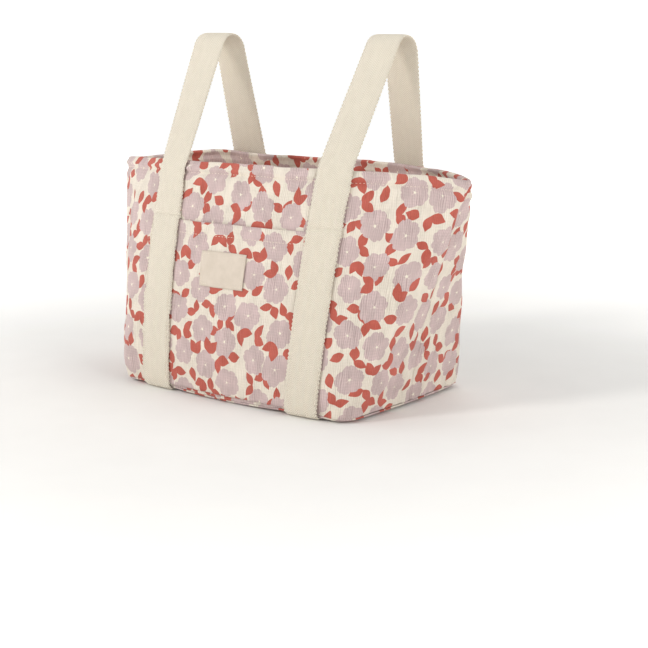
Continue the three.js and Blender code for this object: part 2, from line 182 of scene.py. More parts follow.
def blend_table(inset):
    """Base and rim outlines cut into steps, put in the order of the steps' headings: running
    lengths and positions of each outline's own steps."""
    key = round(inset, 4)
    if key not in TABLES:
        lines = [spaced(base_outline(inset), 201), spaced(rim_outline(inset), 201)]
        steps = np.vstack([np.diff(line, axis=0) for line in lines])
        order = np.argsort(np.arctan2(steps[:, 1], steps[:, 0]), kind="stable")
        steps = steps[order]
        lengths = np.hypot(steps[:, 0], steps[:, 1])
        table = []
        for which, line in enumerate(lines):
            own = (order >= 200) == bool(which)
            table.append(np.r_[0, np.cumsum(lengths * own)])
            table.append(np.vstack([line[:1], line[0] + np.cumsum(steps * own[:, None], axis=0)]))
        TABLES[key] = table
    return TABLES[key]


def outline_point(inset, k, f):
    """Points of the outline between base (k = 0) and rim (k = 1), at fractions of its length."""
    base_run, base_at, rim_run, rim_at = blend_table(inset)
    goal = f * ((1 - k) * base_run[-1] + k * rim_run[-1])
    low = np.zeros(len(goal), int)
    high = np.full(len(goal), len(base_run) - 1)
    for _ in range(10):
        middle = (low + high) // 2
        short = (1 - k) * base_run[middle] + k * rim_run[middle] <= goal
        low = np.where(short, middle, low)
        high = np.where(short, high, middle)
    low = np.minimum(low, len(base_run) - 2)
    first = (1 - k) * base_run[low] + k * rim_run[low]
    last = (1 - k) * base_run[low + 1] + k * rim_run[low + 1]
    share = np.clip((goal - first) / np.maximum(last - first, 1e-9), 0, 1)[:, None]
    k = k[:, None]
    start = (1 - k) * base_at[low] + k * rim_at[low]
    end = (1 - k) * base_at[low + 1] + k * rim_at[low + 1]
    return start * (1 - share) + end * share


HALF_CLOTH = blend_table(0)[0][-1] / 2


def rim_height(side, t):
    u = side * t * HALF_CLOTH
    # The back is drawn up a little on the left, and the whole rim is slightly wavy.
    drawn = (3.4 * bell(u + 122, 36) - 1.6 * bell(u - 125, 32)) * (side < 0)
    wavy = 0.6 * noise(u / 17, 0.5 + side, 5)
    return RIM_CORNER_Z + CREST[side] * (1 - t**4) + drawn + wavy


def rise(side, t, z):
    return (z - WALL_BOTTOM) / (rim_height(side, t) - WALL_BOTTOM)


def turn(x, y, v):
    a = TWIST * (1 - np.clip(v, 0, 1))
    return x * np.cos(a) - y * np.sin(a), x * np.sin(a) + y * np.cos(a)


def plain_wall(t, v, inset):
    """Points of the front wall before the body's twist, seen from above."""
    p = outline_point(inset, np.clip(v, 0, None) ** FLARE, (np.clip(t, -1, 1) + 1) / 2)
    belly = 4 * v * (1 - v)
    x = p[:, 0] + SIDE_BULGE * belly * np.sin(math.pi / 2 * t)
    y = p[:, 1] - FRONT_BULGE * belly * np.cos(math.pi / 2 * t)
    return x, y


def wall(side, t, v, inset, lift=0.0):
    """Points of a wall at t (-1 to 1 between the seams) and v (0 at the base, 1 at the rim)."""
    t, v = np.broadcast_arrays(np.asarray(t, float), np.asarray(v, float))
    x, y = plain_wall(t, v, inset)
    z = WALL_BOTTOM + v * (rim_height(side, t) - WALL_BOTTOM) + lift
    x, y = turn(side * x, side * y, v)
    return np.c_[x, y, z]


def outward(side, t, v, inset):
    n = wall(side, t, v, inset - 1) - wall(side, t, v, inset + 1)
    return n / np.linalg.norm(n, axis=1, keepdims=True)


def middle_at(side, name, z):
    """The middle of a sewn strap at a height: it leans a little on its way down to the base."""
    at_base, centre, _ = STRAPS[name]
    straight = RIM_CORNER_Z if side > 0 else STRAP_END
    share = np.clip((z - WALL_BOTTOM) / (straight - WALL_BOTTOM), 0, 1)
    return at_base + (centre - at_base) * share


def wrinkles(side, t, v):
    """How far the padded cloth stands proud of its plain surface, in millimetres."""
    u = t * HALF_CLOTH
    t, v, u = np.broadcast_arrays(t, v, u)
    top = rim_height(side, t) - WALL_BOTTOM
    h = v * top
    down = top - h  # from the rim
    seed = 11 if side > 0 else 41
    aside = [np.abs(u - side * middle_at(side, name, h + WALL_BOTTOM)) for name in STRAPS]
    near = np.min([np.abs(a - WEB_WIDTH / 2) for a in aside], axis=0)
    under = np.any([a < WEB_WIDTH / 2 for a in aside], axis=0)
    from_strap = np.where(under, 0, near)
    free = 1 - np.exp(-from_strap / 9)
    between = np.abs(u) < BETWEEN
    seam = (1 - np.abs(t)) * HALF_CLOTH
    # Padding swells between the lines where it is sewn down.
    puff = 2.2 * free * np.clip(h / 18, 0, 1) * np.clip((down - HEM) / 14, 0, 1)
    puff = puff * np.where(between, 0.35, 1) * np.clip(seam / 14, 0, 1)
    # Broad dents and folds, then shorter ones that run up and down.
    broad = 1.8 * noise(u / 37 + 0.4 * v, h / 46, seed) + 1.1 * noise(u / 19, h / 27, seed + 1)
    lean = u + 0.35 * h
    folds = 1.1 * noise(lean / 10, h / 31, seed + 2) + 0.5 * noise(u / 5.5, h / 14, seed + 3)
    # Short puckers that fade away from each seam.
    bottom = 1.5 * np.exp(-h / 12) * noise(u / 6, h / 25, seed + 4)
    sides = 1.8 * np.exp(-seam / 12) * noise(h / 6, seam / 20, seed + 5)
    strap = 1.5 * np.exp(-from_strap / 9) * noise(h / 8, u / 22, seed + 6) * ~under
    hem = 1.8 * bell(down - HEM / 2, 2.5) - 1.1 * bell(down - HEM, 1.2)
    hem = hem + 1.2 * bell(down - HEM - 5.5, 4.5)
    hem = hem * (1 + 0.45 * noise(u / 6, down / 30, seed + 7))
    ripple = 0.9 * noise(u / 10, down / 40, seed + 8) * np.clip(1 - down / 22, 0, 1)
    amount = np.clip(down / 20, 0.15, 1) * np.clip(h / 10, 0.2, 1)
    calm = np.where(between, 0.55, 1) * free
    d = puff + (broad + folds) * amount * calm + bottom * (0.3 + 0.7 * free) + sides + strap
    d = d + (hem + ripple) * np.where(under, 0.2, 1)
    # Both walls have the same puckers where they are sewn to each other.
    at_seam = np.exp(-((seam / 5) ** 2))
    shared = -0.1 + 0.7 * noise(h / 6, 3.0 * side * np.sign(t), 77)
    return np.clip(d * (1 - at_seam) + shared * at_seam, -0.6, 5.0)


# ---- meshes ----
def build(name, vertices, faces, uv=None):
    """An object from vertices in millimetres, with cloth coordinates if uv is given."""
    mesh = bpy.data.meshes.new(name)
    mesh.from_pydata((np.asarray(vertices) * MM).tolist(), [], faces)
    if uv is not None:
        layer = mesh.uv_layers.new(name="cloth")
        index = np.empty(len(mesh.loops), int)
        mesh.loops.foreach_get("vertex_index", index)
        layer.data.foreach_set("uv", (np.asarray(uv) * MM)[index].astype(np.float32).ravel())
    mesh.polygons.foreach_set("use_smooth", [True] * len(mesh.polygons))
    mesh.update()
    piece = bpy.data.objects.new(name, mesh)
    bpy.context.scene.collection.objects.link(piece)
    return piece


def grid_faces(rows, cols, start=0, flip=False):
    i, j = np.meshgrid(np.arange(rows - 1), np.arange(cols - 1), indexing="ij")
    a = (start + i * cols + j).ravel()
    quads = np.c_[a, a + 1, a + cols + 1, a + cols]
    if flip:
        quads = quads[:, ::-1]
    return quads.tolist()


def ring_faces(rings, n, start=0, turned=False):
    """Faces between rings of n points that follow each other."""
    faces = []
    for i in range(rings - 1):
        for j in range(n):
            a = start + i * n + j
            b = start + i * n + (j + 1) % n
            faces.append((a, a + n, b + n, b) if turned else (a, b, b + n, a + n))
    return faces


def closed_grid(name, front, back, grid_uv):
    """A closed slab from two grids of points that face opposite ways."""
    rows, cols = front.shape[:2]
    n = rows * cols
    faces = grid_faces(rows, cols) + grid_faces(rows, cols, n, True)
    for j in range(cols - 1):
        top = (rows - 1) * cols + j
        faces.append((j + 1, j, j + n, j + 1 + n))
        faces.append((top, top + 1, top + 1 + n, top + n))
    for i in range(rows - 1):
        left = i * cols
        right = left + cols - 1
        faces.append((left, left + cols, left + cols + n, left + n))
        faces.append((right + cols, right, right + n, right + cols + n))
    vertices = np.vstack([front.reshape(-1, 3), back.reshape(-1, 3)])
    uv = np.vstack([grid_uv.reshape(-1, 2)] * 2)
    return build(name, vertices, faces, uv)


def cloth_run(side, t):
    """Distance along the printed cloth, which goes on from the front round the right side."""
    return t * HALF_CLOTH + (0 if side > 0 else 2 * HALF_CLOTH)


def wall_slab(name, side, t, rows, uv_shift=(0, 0), follow=1.0, extra=None):
    """A layer of the wall, from seam to seam or part of the way. t are its columns. Each row is
    (v, lift and inset of its outer face, lift and inset of its inner face). Its free edges are
    rounded by drawing both faces together there. follow is its share of the wall's wrinkles, for
    the whole layer or for each row, and extra is what it stands proud besides."""
    front = np.empty((len(rows), len(t), 3))
    back = np.empty_like(front)
    uv = np.empty((len(rows), len(t), 2))
    from_end = np.minimum(np.arange(len(t)), np.arange(len(t))[::-1])
    for i, (v, outer, inner) in enumerate(rows):
        v = np.broadcast_to(v, t.shape)
        n = outward(side, t, v, outer[1])
        share = follow if np.isscalar(follow) else follow[i]
        d = share * wrinkles(side, t, v)
        if extra is not None:
            d = d + extra(side * t * HALF_CLOTH, v * (rim_height(side, t) - WALL_BOTTOM))
        outside = wall(side, t, v, outer[1], outer[0]) + n * d[:, None]
        inside = wall(side, t, v, inner[1], inner[0]) + n * d[:, None]
        pinch = (0.3 * np.clip(1 - from_end / 2, 0, 1) ** 2)[:, None]
        front[i] = outside * (1 - pinch) + inside * pinch
        back[i] = inside * (1 - pinch) + outside * pinch
        uv[i, :, 0] = cloth_run(side, t) + uv_shift[0]
        uv[i, :, 1] = v * (RIM_CORNER_Z - WALL_BOTTOM) + outer[0] + uv_shift[1]
    return closed_grid(name, front, back, uv)


def on_wall(side, t, z, inset):
    """A point sewn to the wall at height z, and the way it faces."""
    v = rise(side, t, z)
    n = outward(side, t, v, inset)
    return wall(side, t, v, inset) + n * wrinkles(side, t, v)[:, None], n


def flat_rows(side, t, bottom, top, inset, thickness, count):
    """Rows of a layer between two heights, with its lower and upper edges drawn to a soft round."""
    rows = []
    for i, z in enumerate(np.linspace(bottom, top, count)):
        pinch = 0.4 * thickness * max(0, 1 - min(i, count - 1 - i) / 2) ** 2
        rows.append((rise(side, t, z), (0, inset + pinch), (0, inset + thickness - pinch)))
    return rows


def columns(low, high, spacing):
    """Columns between two cloth coordinates, given in millimetres from the wall's middle."""
    return np.linspace(low, high, max(4, round((high - low) / spacing)) + 1) / HALF_CLOTH


def strap_columns(side, middle, width, count):
    """Columns over a width about a strap's middle."""
    return (side * middle + np.linspace(-width / 2, width / 2, count)) / HALF_CLOTH


# ---- stitches ----
def stitches(name, lines, pitch=3.2, length=2.3, radius=0.21):
    """Short threads along lines of (points, normals), each dipping into the cloth at its ends."""
    vertices = []
    faces = []
    sides = 6
    along = np.linspace(-1, 1, 6)
    ring = np.linspace(0, 2 * math.pi, sides, endpoint=False)
    for points, normals in lines:
        run = np.r_[0, np.cumsum(np.linalg.norm(np.diff(points, axis=0), axis=1))]
        marks = np.arange(pitch / 2, run[-1] - pitch / 4, pitch)
        p = np.array([np.interp(marks, run, points[:, k]) for k in range(3)]).T
        n = np.array([np.interp(marks, run, normals[:, k]) for k in range(3)]).T
        n /= np.linalg.norm(n, axis=1, keepdims=True)
        ahead = np.array([np.interp(marks + 0.5, run, points[:, k]) for k in range(3)]).T
        back = np.array([np.interp(marks - 0.5, run, points[:, k]) for k in range(3)]).T
        way = ahead - back
        way /= np.linalg.norm(way, axis=1, keepdims=True)
        across = np.cross(way, n)
        for k in range(len(marks)):
            first = len(vertices)
            for s in along:
                size = radius * max(0.25, math.sqrt(1 - 0.94 * s**4))
                centre = p[k] + way[k] * s * length / 2 + n[k] * (radius * 0.7 - 0.45 * s * s)
                for a in ring:
                    vertices.append(centre + size * (math.cos(a) * across[k] + math.sin(a) * n[k]))
            last = len(vertices) - sides
            faces += ring_faces(len(along), sides, first, turned=True)
            faces.append(tuple(range(first, first + sides)))
            faces.append(tuple(range(last, last + sides))[::-1])
    return build(name, vertices, faces)


def wall_line(side, u, z, inset, extra=None):
    """A line on the wall through cloth coordinates u and heights z, as points and normals."""
    u, z = np.broadcast_arrays(np.asarray(u, float), np.asarray(z, float))
    t = side * u / HALF_CLOTH
    p, n = on_wall(side, t, z, inset)
    if extra is not None:
        p = p + n * extra(u, z - WALL_BOTTOM)[:, None]
    return p, n


# ---- webbing ----
# Rows of the free webbing: up to the bar, round it, down to the back rim, and down the back.
UP_TO_BAR = 73
ROUND_BAR = 40
DOWN_TO_RIM = 65
DOWN_BACK = 65
SCALLOP = 0.5
SCALLOP_PITCH = 3.5


def strap_x(centre, across):
    return centre + (across - 0.5) * WEB_WIDTH


def plain(side, t, v, inset):
    """One point of the wall before the body's twist."""
    x, y = plain_wall(np.array([t]), np.array([v]), inset)
    return side * x[0], side * y[0]


def touch(y, z, r, front):
    """Angle of the point where a line from (y, z) touches the bar, on its front or its back."""
    dy, dz = y - BAR_Y, z - BAR_Z
    return math.atan2(dz, dy) + (-1 if front else 1) * math.acos(r / math.hypot(dy, dz))


def loop_line(name, across):
    """One lengthwise line of the free webbing, from above the front rim to the back's end."""
    _, centre, at_bar = STRAPS[name]
    x = strap_x(centre, across)
    x_bar = strap_x(at_bar, across)
    r = BAR_RADIUS + GAP + HALF_WEB
    root_z = RIM_CORNER_Z + CREST[1] + 1.2
    fx, fy = plain(1, x / HALF_CLOTH, 1, FRONT_BAND + HALF_WEB)
    t = -x / HALF_CLOTH
    rim_z = RIM_CORNER_Z + CREST[-1]
    bx, by = plain(-1, t, 1, FREE_END + HALF_WEB)
    start = touch(fy, root_z, r, True)
    end = touch(by, rim_z, r, False)
    if start < end:
        start += 2 * math.pi
    points = []
    y1, z1 = BAR_Y + r * math.cos(start), BAR_Z + r * math.sin(start)
    for s in np.linspace(0, 1, UP_TO_BAR + 1)[:-1]:
        points.append((fx + (x_bar - fx) * s, fy + (y1 - fy) * s, root_z + (z1 - root_z) * s))
    for a in np.linspace(start, end, ROUND_BAR):
        points.append((x_bar, BAR_Y + r * math.cos(a), BAR_Z + r * math.sin(a)))
    y2, z2 = points[-1][1:]
    for s in np.linspace(0, 1, DOWN_TO_RIM + 1)[1:]:
        points.append((x_bar + (bx - x_bar) * s, y2 + (by - y2) * s, z2 + (rim_z - z2) * s))
    for z in np.linspace(rim_z, STRAP_END, DOWN_BACK + 1)[1:]:
        v = min(float(rise(-1, t, z)), 1)
        px, py = plain(-1, t, v, FREE_END + HALF_WEB)
        px, py = turn(px, py, v)
        points.append((px, py, z))
    return np.array(points)


def soften(grid, rows, spread, reach):
    """Smooths a grid of points along its length around some rows, as stiff webbing bends."""
    i = np.arange(len(grid))
    kernel = np.exp(-0.5 * (np.arange(-3 * spread, 3 * spread + 1) / spread) ** 2)
    kernel /= kernel.sum()
    pad = 3 * spread
    padded = np.concatenate([np.repeat(grid[:1], pad, 0), grid, np.repeat(grid[-1:], pad, 0)])
    smooth = sum(k * padded[j : j + len(grid)] for j, k in enumerate(kernel))
    weight = np.clip(sum(bell(i - r, reach) for r in rows), 0, 1)[:, None, None]
    return grid * (1 - weight) + smooth * weight


def finer(grid):
    """A grid with a row put between each two, on a smooth curve through them."""
    ends = np.concatenate([2 * grid[:1] - grid[1:2], grid, 2 * grid[-1:] - grid[-2:-1]])
    result = np.empty((2 * len(grid) - 1, *grid.shape[1:]))
    result[::2] = grid
    result[1::2] = (9 * (ends[1:-2] + ends[2:-1]) - ends[:-3] - ends[3:]) / 16
    return result


def band(name, grid):
    """Webbing along a grid of points: rows along its length, columns over its width."""
    grid = finer(grid)
    along = np.gradient(grid, axis=0)
    over = np.gradient(grid, axis=1)
    n = np.cross(along, over)
    n /= np.linalg.norm(n, axis=2, keepdims=True)
    rows, cols = grid.shape[:2]
    a = np.abs(np.linspace(-1, 1, cols))
    half = HALF_WEB * np.maximum(np.sqrt(1 - a**10), 0.3)
    half = np.tile(half, (rows, 1))
    end = np.minimum(np.arange(rows), np.arange(rows)[::-1])
    half *= (1 - 0.5 * np.clip(1 - end / 2, 0, 1) ** 2)[:, None]
    steps = np.linalg.norm(np.diff(grid.mean(axis=1), axis=0), axis=1)
    run = np.r_[0, np.cumsum(steps)]
    # The weft turns round at the selvedge, which leaves small even scallops.
    bump = SCALLOP * np.sin(run / SCALLOP_PITCH * 2 * math.pi)
    over /= np.linalg.norm(over, axis=2, keepdims=True)
    sign = np.sign(np.linspace(-1, 1, cols)) * np.clip((a - 0.75) / 0.2, 0, 1)
    grid = grid + over * (bump[:, None] * sign)[:, :, None]
    front = grid + n * half[:, :, None]
    back = grid - n * half[:, :, None]
    u = np.linspace(-WEB_WIDTH / 2, WEB_WIDTH / 2, cols)
    uv = np.stack(np.broadcast_arrays(u[None, :], run[:, None]), axis=2)
    if np.dot(np.cross(grid[0, 1] - grid[0, 0], grid[1, 0] - grid[0, 0]), n[0, 0]) < 0:
        front, back, uv = front[:, ::-1], back[:, ::-1], uv[:, ::-1]
    return closed_grid(name, front, back, uv)


# ---- materials ----
class Graph:
    """A material's nodes, written as sums."""

    def __init__(self, name, roughness, metallic=0.0, sheen=0.0):
        self.material = bpy.data.materials.new(name)
        self.material.use_nodes = True
        self.tree = self.material.node_tree
        self.tree.nodes.clear()
        self.out = self.tree.nodes.new("ShaderNodeOutputMaterial")
        self.shader = self.tree.nodes.new("ShaderNodeBsdfPrincipled")
        self.shader.inputs["Roughness"].default_value = roughness
        self.shader.inputs["Metallic"].default_value = metallic
        self.shader.inputs["Sheen Weight"].default_value = sheen
        self.shader.inputs["Sheen Roughness"].default_value = 0.6
        if metallic == 0:
            self.shader.inputs["Specular IOR Level"].default_value = 0.2
        self.tree.links.new(self.shader.outputs[0], self.out.inputs[0])

    def put(self, socket, value):
        if isinstance(value, bpy.types.NodeSocket):
            self.tree.links.new(value, socket)
        else:
            socket.default_value = value

    def node(self, kind, inputs=(), **settings):
        node = self.tree.nodes.new("ShaderNode" + kind)
        for key, value in settings.items():
            setattr(node, key, value)
        for key, value in dict(inputs).items():
            self.put(node.inputs[key], value)
        return node

    def math(self, operation, a, b=0.0):
        return self.node("Math", {0: a, 1: b}, operation=operation).outputs[0]

    def add(self, a, b):
        return self.math("ADD", a, b)

    def times(self, a, b):
        return self.math("MULTIPLY", a, b)

    def mix(self, factor, a, b, blend="MIX"):
        node = self.node("Mix", data_type="RGBA", blend_type=blend)
        self.put(node.inputs[0], factor)
        self.put(node.inputs[6], a)
        self.put(node.inputs[7], b)
        return node.outputs[2]

    def scaled(self, vector, by):
        return self.node("VectorMath", {0: vector, 1: by}, operation="MULTIPLY").outputs[0]

    def moved(self, vector, by):
        return self.node("VectorMath", {0: vector, 1: by}, operation="ADD").outputs[0]

    def split(self, vector):
        return self.node("SeparateXYZ", {0: vector}).outputs

    def noise(self, vector, scale, detail, roughness=0.5):
        inputs = {"Vector": vector, "Scale": scale, "Detail": detail, "Roughness": roughness}
        return self.node("TexNoise", inputs).outputs[0]

    def ramp(self, value, low, high):
        inputs = {"Value": value, "From Min": low, "From Max": high}
        return self.node("MapRange", inputs, interpolation_type="SMOOTHSTEP").outputs[0]

    def cloth(self):
        """Cloth coordinates in millimetres."""
        uv = self.node("UVMap", uv_map="cloth").outputs[0]
        return self.scaled(uv, (1000, 1000, 1000))

    def place(self):
        """Object coordinates in millimetres."""
        return self.scaled(self.node("TexCoord").outputs["Object"], (1000, 1000, 1000))

    def bump(self, height, strength, distance):
        inputs = {"Height": height, "Strength": strength, "Distance": distance}
        self.put(self.shader.inputs["Normal"], self.node("Bump", inputs).outputs[0])

    def colour(self, value):
        self.put(self.shader.inputs["Base Color"], value)


def rgb(r, g, b):
    """A colour given as it looks on a screen, from 0 to 255."""

    def linear(c):
        c /= 255
        return c / 12.92 if c <= 0.04045 else ((c + 0.055) / 1.055) ** 2.4

    return (linear(r), linear(g), linear(b), 1.0)


CREAM = rgb(234, 225, 211)
CORAL = rgb(185, 92, 78)
ECRU = rgb(238, 230, 214)
PALE = rgb(237, 229, 212)


def scatter(g, at, spacing, tilt, shift, freedom):
    """One motif to each cell of a turned grid, moved off the cell's middle by up to freedom
    millimetres. Gives the motif's own turned coordinates, and two random numbers."""
    rotate = {"Vector": at, "Angle": tilt}
    grid = g.node("VectorRotate", rotate, rotation_type="Z_AXIS").outputs[0]
    x, y, _ = g.split(g.moved(grid, (shift[0], shift[1], 0)))
    row = g.math("FLOOR", g.times(y, 1 / spacing))
    # Every other row is moved along by half a cell.
    x = g.add(x, g.times(g.math("PINGPONG", row, 1.0), spacing / 2))
    column = g.math("FLOOR", g.times(x, 1 / spacing))
    cell = g.node("CombineXYZ", {0: column, 1: row, 2: shift[0]}).outputs[0]
    chance = g.node("TexWhiteNoise", {"Vector": cell}, noise_dimensions="3D").outputs["Color"]
    red, green, blue = g.node("SeparateColor", {0: chance}).outputs
    x = g.add(g.add(x, g.times(column, -spacing)), -spacing / 2)
    y = g.add(g.add(y, g.times(row, -spacing)), -spacing / 2)
    x = g.add(x, g.times(g.add(green, -0.5), 2 * freedom))
    y = g.add(y, g.times(g.add(blue, -0.5), 2 * freedom))
    local = g.node("CombineXYZ", {0: x, 1: y, 2: 0.0}).outputs[0]
    angle = g.times(red, 2 * math.pi)
    turned = g.node("VectorRotate", {"Vector": local, "Angle": angle}, rotation_type="Z_AXIS")
    return turned.outputs[0], green, blue


def length(g, x, y):
    return g.math("SQRT", g.add(g.times(x, x), g.times(y, y)))


def flowers(g, at, spacing, tilt, shift):
    """(where a flower is, how pale its middle is). Each of its five petals has a notched tip."""
    local, green, blue = scatter(g, at, spacing, tilt, shift, 4.2)
    x, y, _ = g.split(local)
    distance = length(g, x, y)
    angle = g.math("ARCTAN2", y, x)
    # The petals of one flower differ a little in size.
    uneven = g.times(g.math("SINE", g.add(angle, g.times(blue, 6.3))), 0.045)
    petal = g.math("ABSOLUTE", g.math("COSINE", g.times(angle, 2.5)))
    round_edge = g.times(g.math("POWER", g.math("MAXIMUM", petal, 0.001), 0.62), 0.24)
    notch = g.times(g.ramp(petal, 0.968, 1.0), -0.07)
    size = g.add(10.9, g.times(green, 1.4))
    edge = g.times(size, g.add(g.add(0.82, round_edge), g.add(notch, uneven)))
    eye = g.math("LESS_THAN", distance, g.add(0.7, g.times(blue, 0.35)))
    # Short pale lines run out between the petals.
    line = g.math("LESS_THAN", g.times(petal, distance), 0.55)
    line = g.times(line, g.math("LESS_THAN", distance, g.add(2.6, g.times(green, 1.2))))
    return g.math("LESS_THAN", distance, edge), g.math("MAXIMUM", eye, g.times(line, 0.4))


def leaf(g, at, angle, size, width):
    """A leaf with pointed ends, from the origin outwards at an angle."""
    turned = g.node("VectorRotate", {"Vector": at, "Angle": angle}, rotation_type="Z_AXIS")
    along, across, _ = g.split(turned.outputs[0])
    s = g.node("MapRange", {"Value": along, "From Max": size}).outputs[0]
    belly = g.math("SINE", g.times(g.math("POWER", s, 0.85), math.pi))
    half = g.times(g.math("MAXIMUM", belly, 0.0), width / 2)
    return g.math("LESS_THAN", g.math("ABSOLUTE", across), half)


def leaves(g, at, spacing, tilt, shift, pairs):
    """(where a leaf is, where one lies over the flowers). They come in pairs that open from one
    point, and in some cells alone."""
    local, green, blue = scatter(g, at, spacing, tilt, shift, 2.5)
    local = g.moved(local, (6.0, 0, 0))
    opening = g.add(0.45, g.times(blue, 0.6))
    one = leaf(g, local, g.times(opening, -1.0), 12.9, 7.7)
    two = leaf(g, local, opening, 12.1, 7.3)
    two = g.times(two, g.math("LESS_THAN", green, pairs))
    either = g.math("MAXIMUM", one, two)
    return either, g.times(either, g.math("LESS_THAN", blue, 0.45))


def gauze(name):
    """Crinkled double gauze printed with flowers and pairs of leaves, with painted shade in the
    crinkle's valleys and in soft broad patches.
    """
    g = Graph(name, roughness=0.92, sheen=0.1)
    at = g.cloth()
    print_at = at
    for scale, reach in ((0.16, 1.8), (0.014, 15)):
        drift = g.node("TexNoise", {"Vector": at, "Scale": scale, "Detail": 1.0}).outputs[1]
        drift = g.scaled(g.moved(drift, (-0.5, -0.5, -0.5)), (reach, reach, 0))
        print_at = g.moved(print_at, drift)
    # Flowers stand in staggered rows. Leaves fill the two gaps that each one has beside it.
    row = 29.4
    tilt = 0.3
    x = 97
    y = 211
    flower, eye = flowers(g, print_at, row, tilt, (x, y))
    gap = row * 0.375
    under, over = leaves(g, print_at, row, tilt, (x - row / 2, y - gap), 0.8)
    more_under, more_over = leaves(g, print_at, row, tilt, (x, y + gap - row), 0.65)
    under = g.math("MAXIMUM", under, more_under)
    over = g.math("MAXIMUM", over, more_over)
    # The crinkle of the gauze: ribs up and down, crossed by weaker ones.
    rib_pitch = 1.75
    cross_pitch = 2.3
    u, v, _ = g.split(at)
    drift = g.noise(g.scaled(at, (0.5, 0.12, 1)), 0.35, 2.0)
    ribs = g.math("SINE", g.add(g.times(u, 2 * math.pi / rib_pitch), g.times(drift, 11.0)))
    steps = g.math("SINE", g.add(g.times(v, 2 * math.pi / cross_pitch), g.times(drift, 7.0)))
    patches = g.ramp(g.noise(g.scaled(at, (1, 0.6, 1)), 0.045, 2.0), 0.36, 0.6)
    grain = g.noise(g.scaled(at, (1.0, 0.2, 1)), 0.7, 2.0, 0.55)
    streaks = g.ramp(g.noise(g.scaled(at, (1.0, 0.09, 1)), 0.55, 2.0, 0.6), 0.35, 0.68)
    crinkle = g.add(g.times(ribs, g.times(streaks, 0.85)), g.times(steps, 0.1))
    crinkle = g.times(crinkle, g.add(0.25, g.times(patches, 0.75)))
    mottle = g.noise(at, 0.05, 3.0, 0.6)
    # Painted shade: the crinkle's valleys are painted darker on the cream, the pink and the coral.
    valley_shade = g.times(g.ramp(crinkle, 0.5, -0.5), 0.8)
    pink = g.mix(g.ramp(mottle, 0.3, 0.7), rgb(204, 185, 182), rgb(219, 197, 195))
    pink = g.mix(valley_shade, pink, rgb(178, 155, 153))
    coral = g.mix(g.ramp(mottle, 0.35, 0.65), CORAL, rgb(196, 103, 89))
    coral = g.mix(g.times(valley_shade, 0.5), coral, rgb(166, 78, 67))
    cream = g.mix(valley_shade, CREAM, rgb(213, 202, 187))
    colour = g.mix(under, cream, coral)
    colour = g.mix(flower, colour, pink)
    colour = g.mix(g.times(eye, flower), colour, PALE)
    colour = g.mix(over, colour, coral)
    thread = g.noise(g.scaled(at, (3.2, 3.2, 1)), 1.0, 1.0)
    # Painted shade in soft broad patches, together with the threads' own tone, darkens the whole
    # print.
    shade_patches = g.ramp(g.noise(g.scaled(at, (1, 0.6, 1)), 0.1, 2.0), 0.36, 0.64)
    tone_and_shade = g.add(g.add(0.87, g.times(shade_patches, 0.08)), g.times(thread, 0.12))
    tone_and_shade = g.node("CombineColor", {0: tone_and_shade, 1: tone_and_shade, 2: tone_and_shade}).outputs[0]
    g.colour(g.mix(1.0, colour, tone_and_shade, "MULTIPLY"))
    height = g.add(g.times(crinkle, 0.55), g.times(grain, 0.8))
    height = g.add(height, g.times(thread, 0.12))
    g.bump(height, 0.7, 0.0008)
    return g.material


def webbing(name):
    """Ecru cotton webbing in a herringbone twill."""
    g = Graph(name, roughness=0.88, sheen=0.1)
    chevron = 4.0
    twill_pitch = 1.9
    warp_pitch = 1.0
    at = g.cloth()
    u, v, _ = g.split(at)
    # u is moved by whole chevrons, so that it is nowhere below zero.
    zigzag = g.math("PINGPONG", g.add(u, 16 * chevron), chevron)
    twill = g.math("SINE", g.times(g.add(v, g.times(zigzag, 0.9)), 2 * math.pi / twill_pitch))
    warp = g.math("SINE", g.times(u, 2 * math.pi / warp_pitch))
    mottle = g.noise(g.scaled(at, (1, 0.35, 1)), 0.25, 3.0, 0.6)
    slub = g.noise(g.scaled(at, (2.4, 0.3, 1)), 0.9, 2.0)
    light = g.add(g.times(twill, 0.5), g.times(warp, 0.25))
    cloth = g.mix(g.ramp(light, -0.75, 0.4), rgb(213, 202, 183), ECRU)
    cloth = g.mix(g.times(g.ramp(mottle, 0.35, 0.7), 0.35), cloth, rgb(240, 231, 214))
    cloth = g.mix(g.times(g.ramp(slub, 0.62, 0.75), 0.25), cloth, rgb(205, 188, 163))
    g.colour(cloth)
    g.bump(g.add(g.times(light, 0.8), g.times(slub, 0.5)), 0.85, 0.0006)
    return g.material


def plain_weave(name, dark, light, pitch, strength=0.5, cloth=True):
    """Plain woven cloth of one colour, with threads of a given pitch in millimetres. It follows
    the cloth's coordinates, or the object's where it has none."""
    g = Graph(name, roughness=0.9, sheen=0.08)
    at = g.cloth() if cloth else g.place()
    x, y, z = g.split(at)
    if not cloth:
        y = g.add(y, z)
    one = g.math("SINE", g.times(x, 2 * math.pi / pitch))
    two = g.math("SINE", g.times(y, 2 * math.pi / pitch))
    weave = g.times(one, two)
    mottle = g.noise(at, 0.12, 3.0, 0.6)
    tone = g.mix(g.ramp(mottle, 0.3, 0.7), dark, light)
    tone = g.mix(g.times(g.ramp(weave, -0.6, 0.6), 0.35), tone, light)
    g.colour(tone)
    g.bump(g.add(g.times(weave, 0.5), mottle), strength, 0.0004)
    return g.material


def toned(colour, red, green, blue):
    return (colour[0] * red, colour[1] * green, colour[2] * blue, 1)


def fuzzy(name, colour, scale, strength):
    g = Graph(name, roughness=1.0, sheen=0.4)
    pile = g.noise(g.place(), scale, 4.0, 0.7)
    # Painted shade: the pile's low parts, where its bump sinks, are painted a darker tone.
    g.colour(g.mix(g.ramp(pile, 0.35, 0.65), toned(colour, 0.8, 0.78, 0.74), colour))
    g.bump(pile, strength, 0.001)
    return g.material


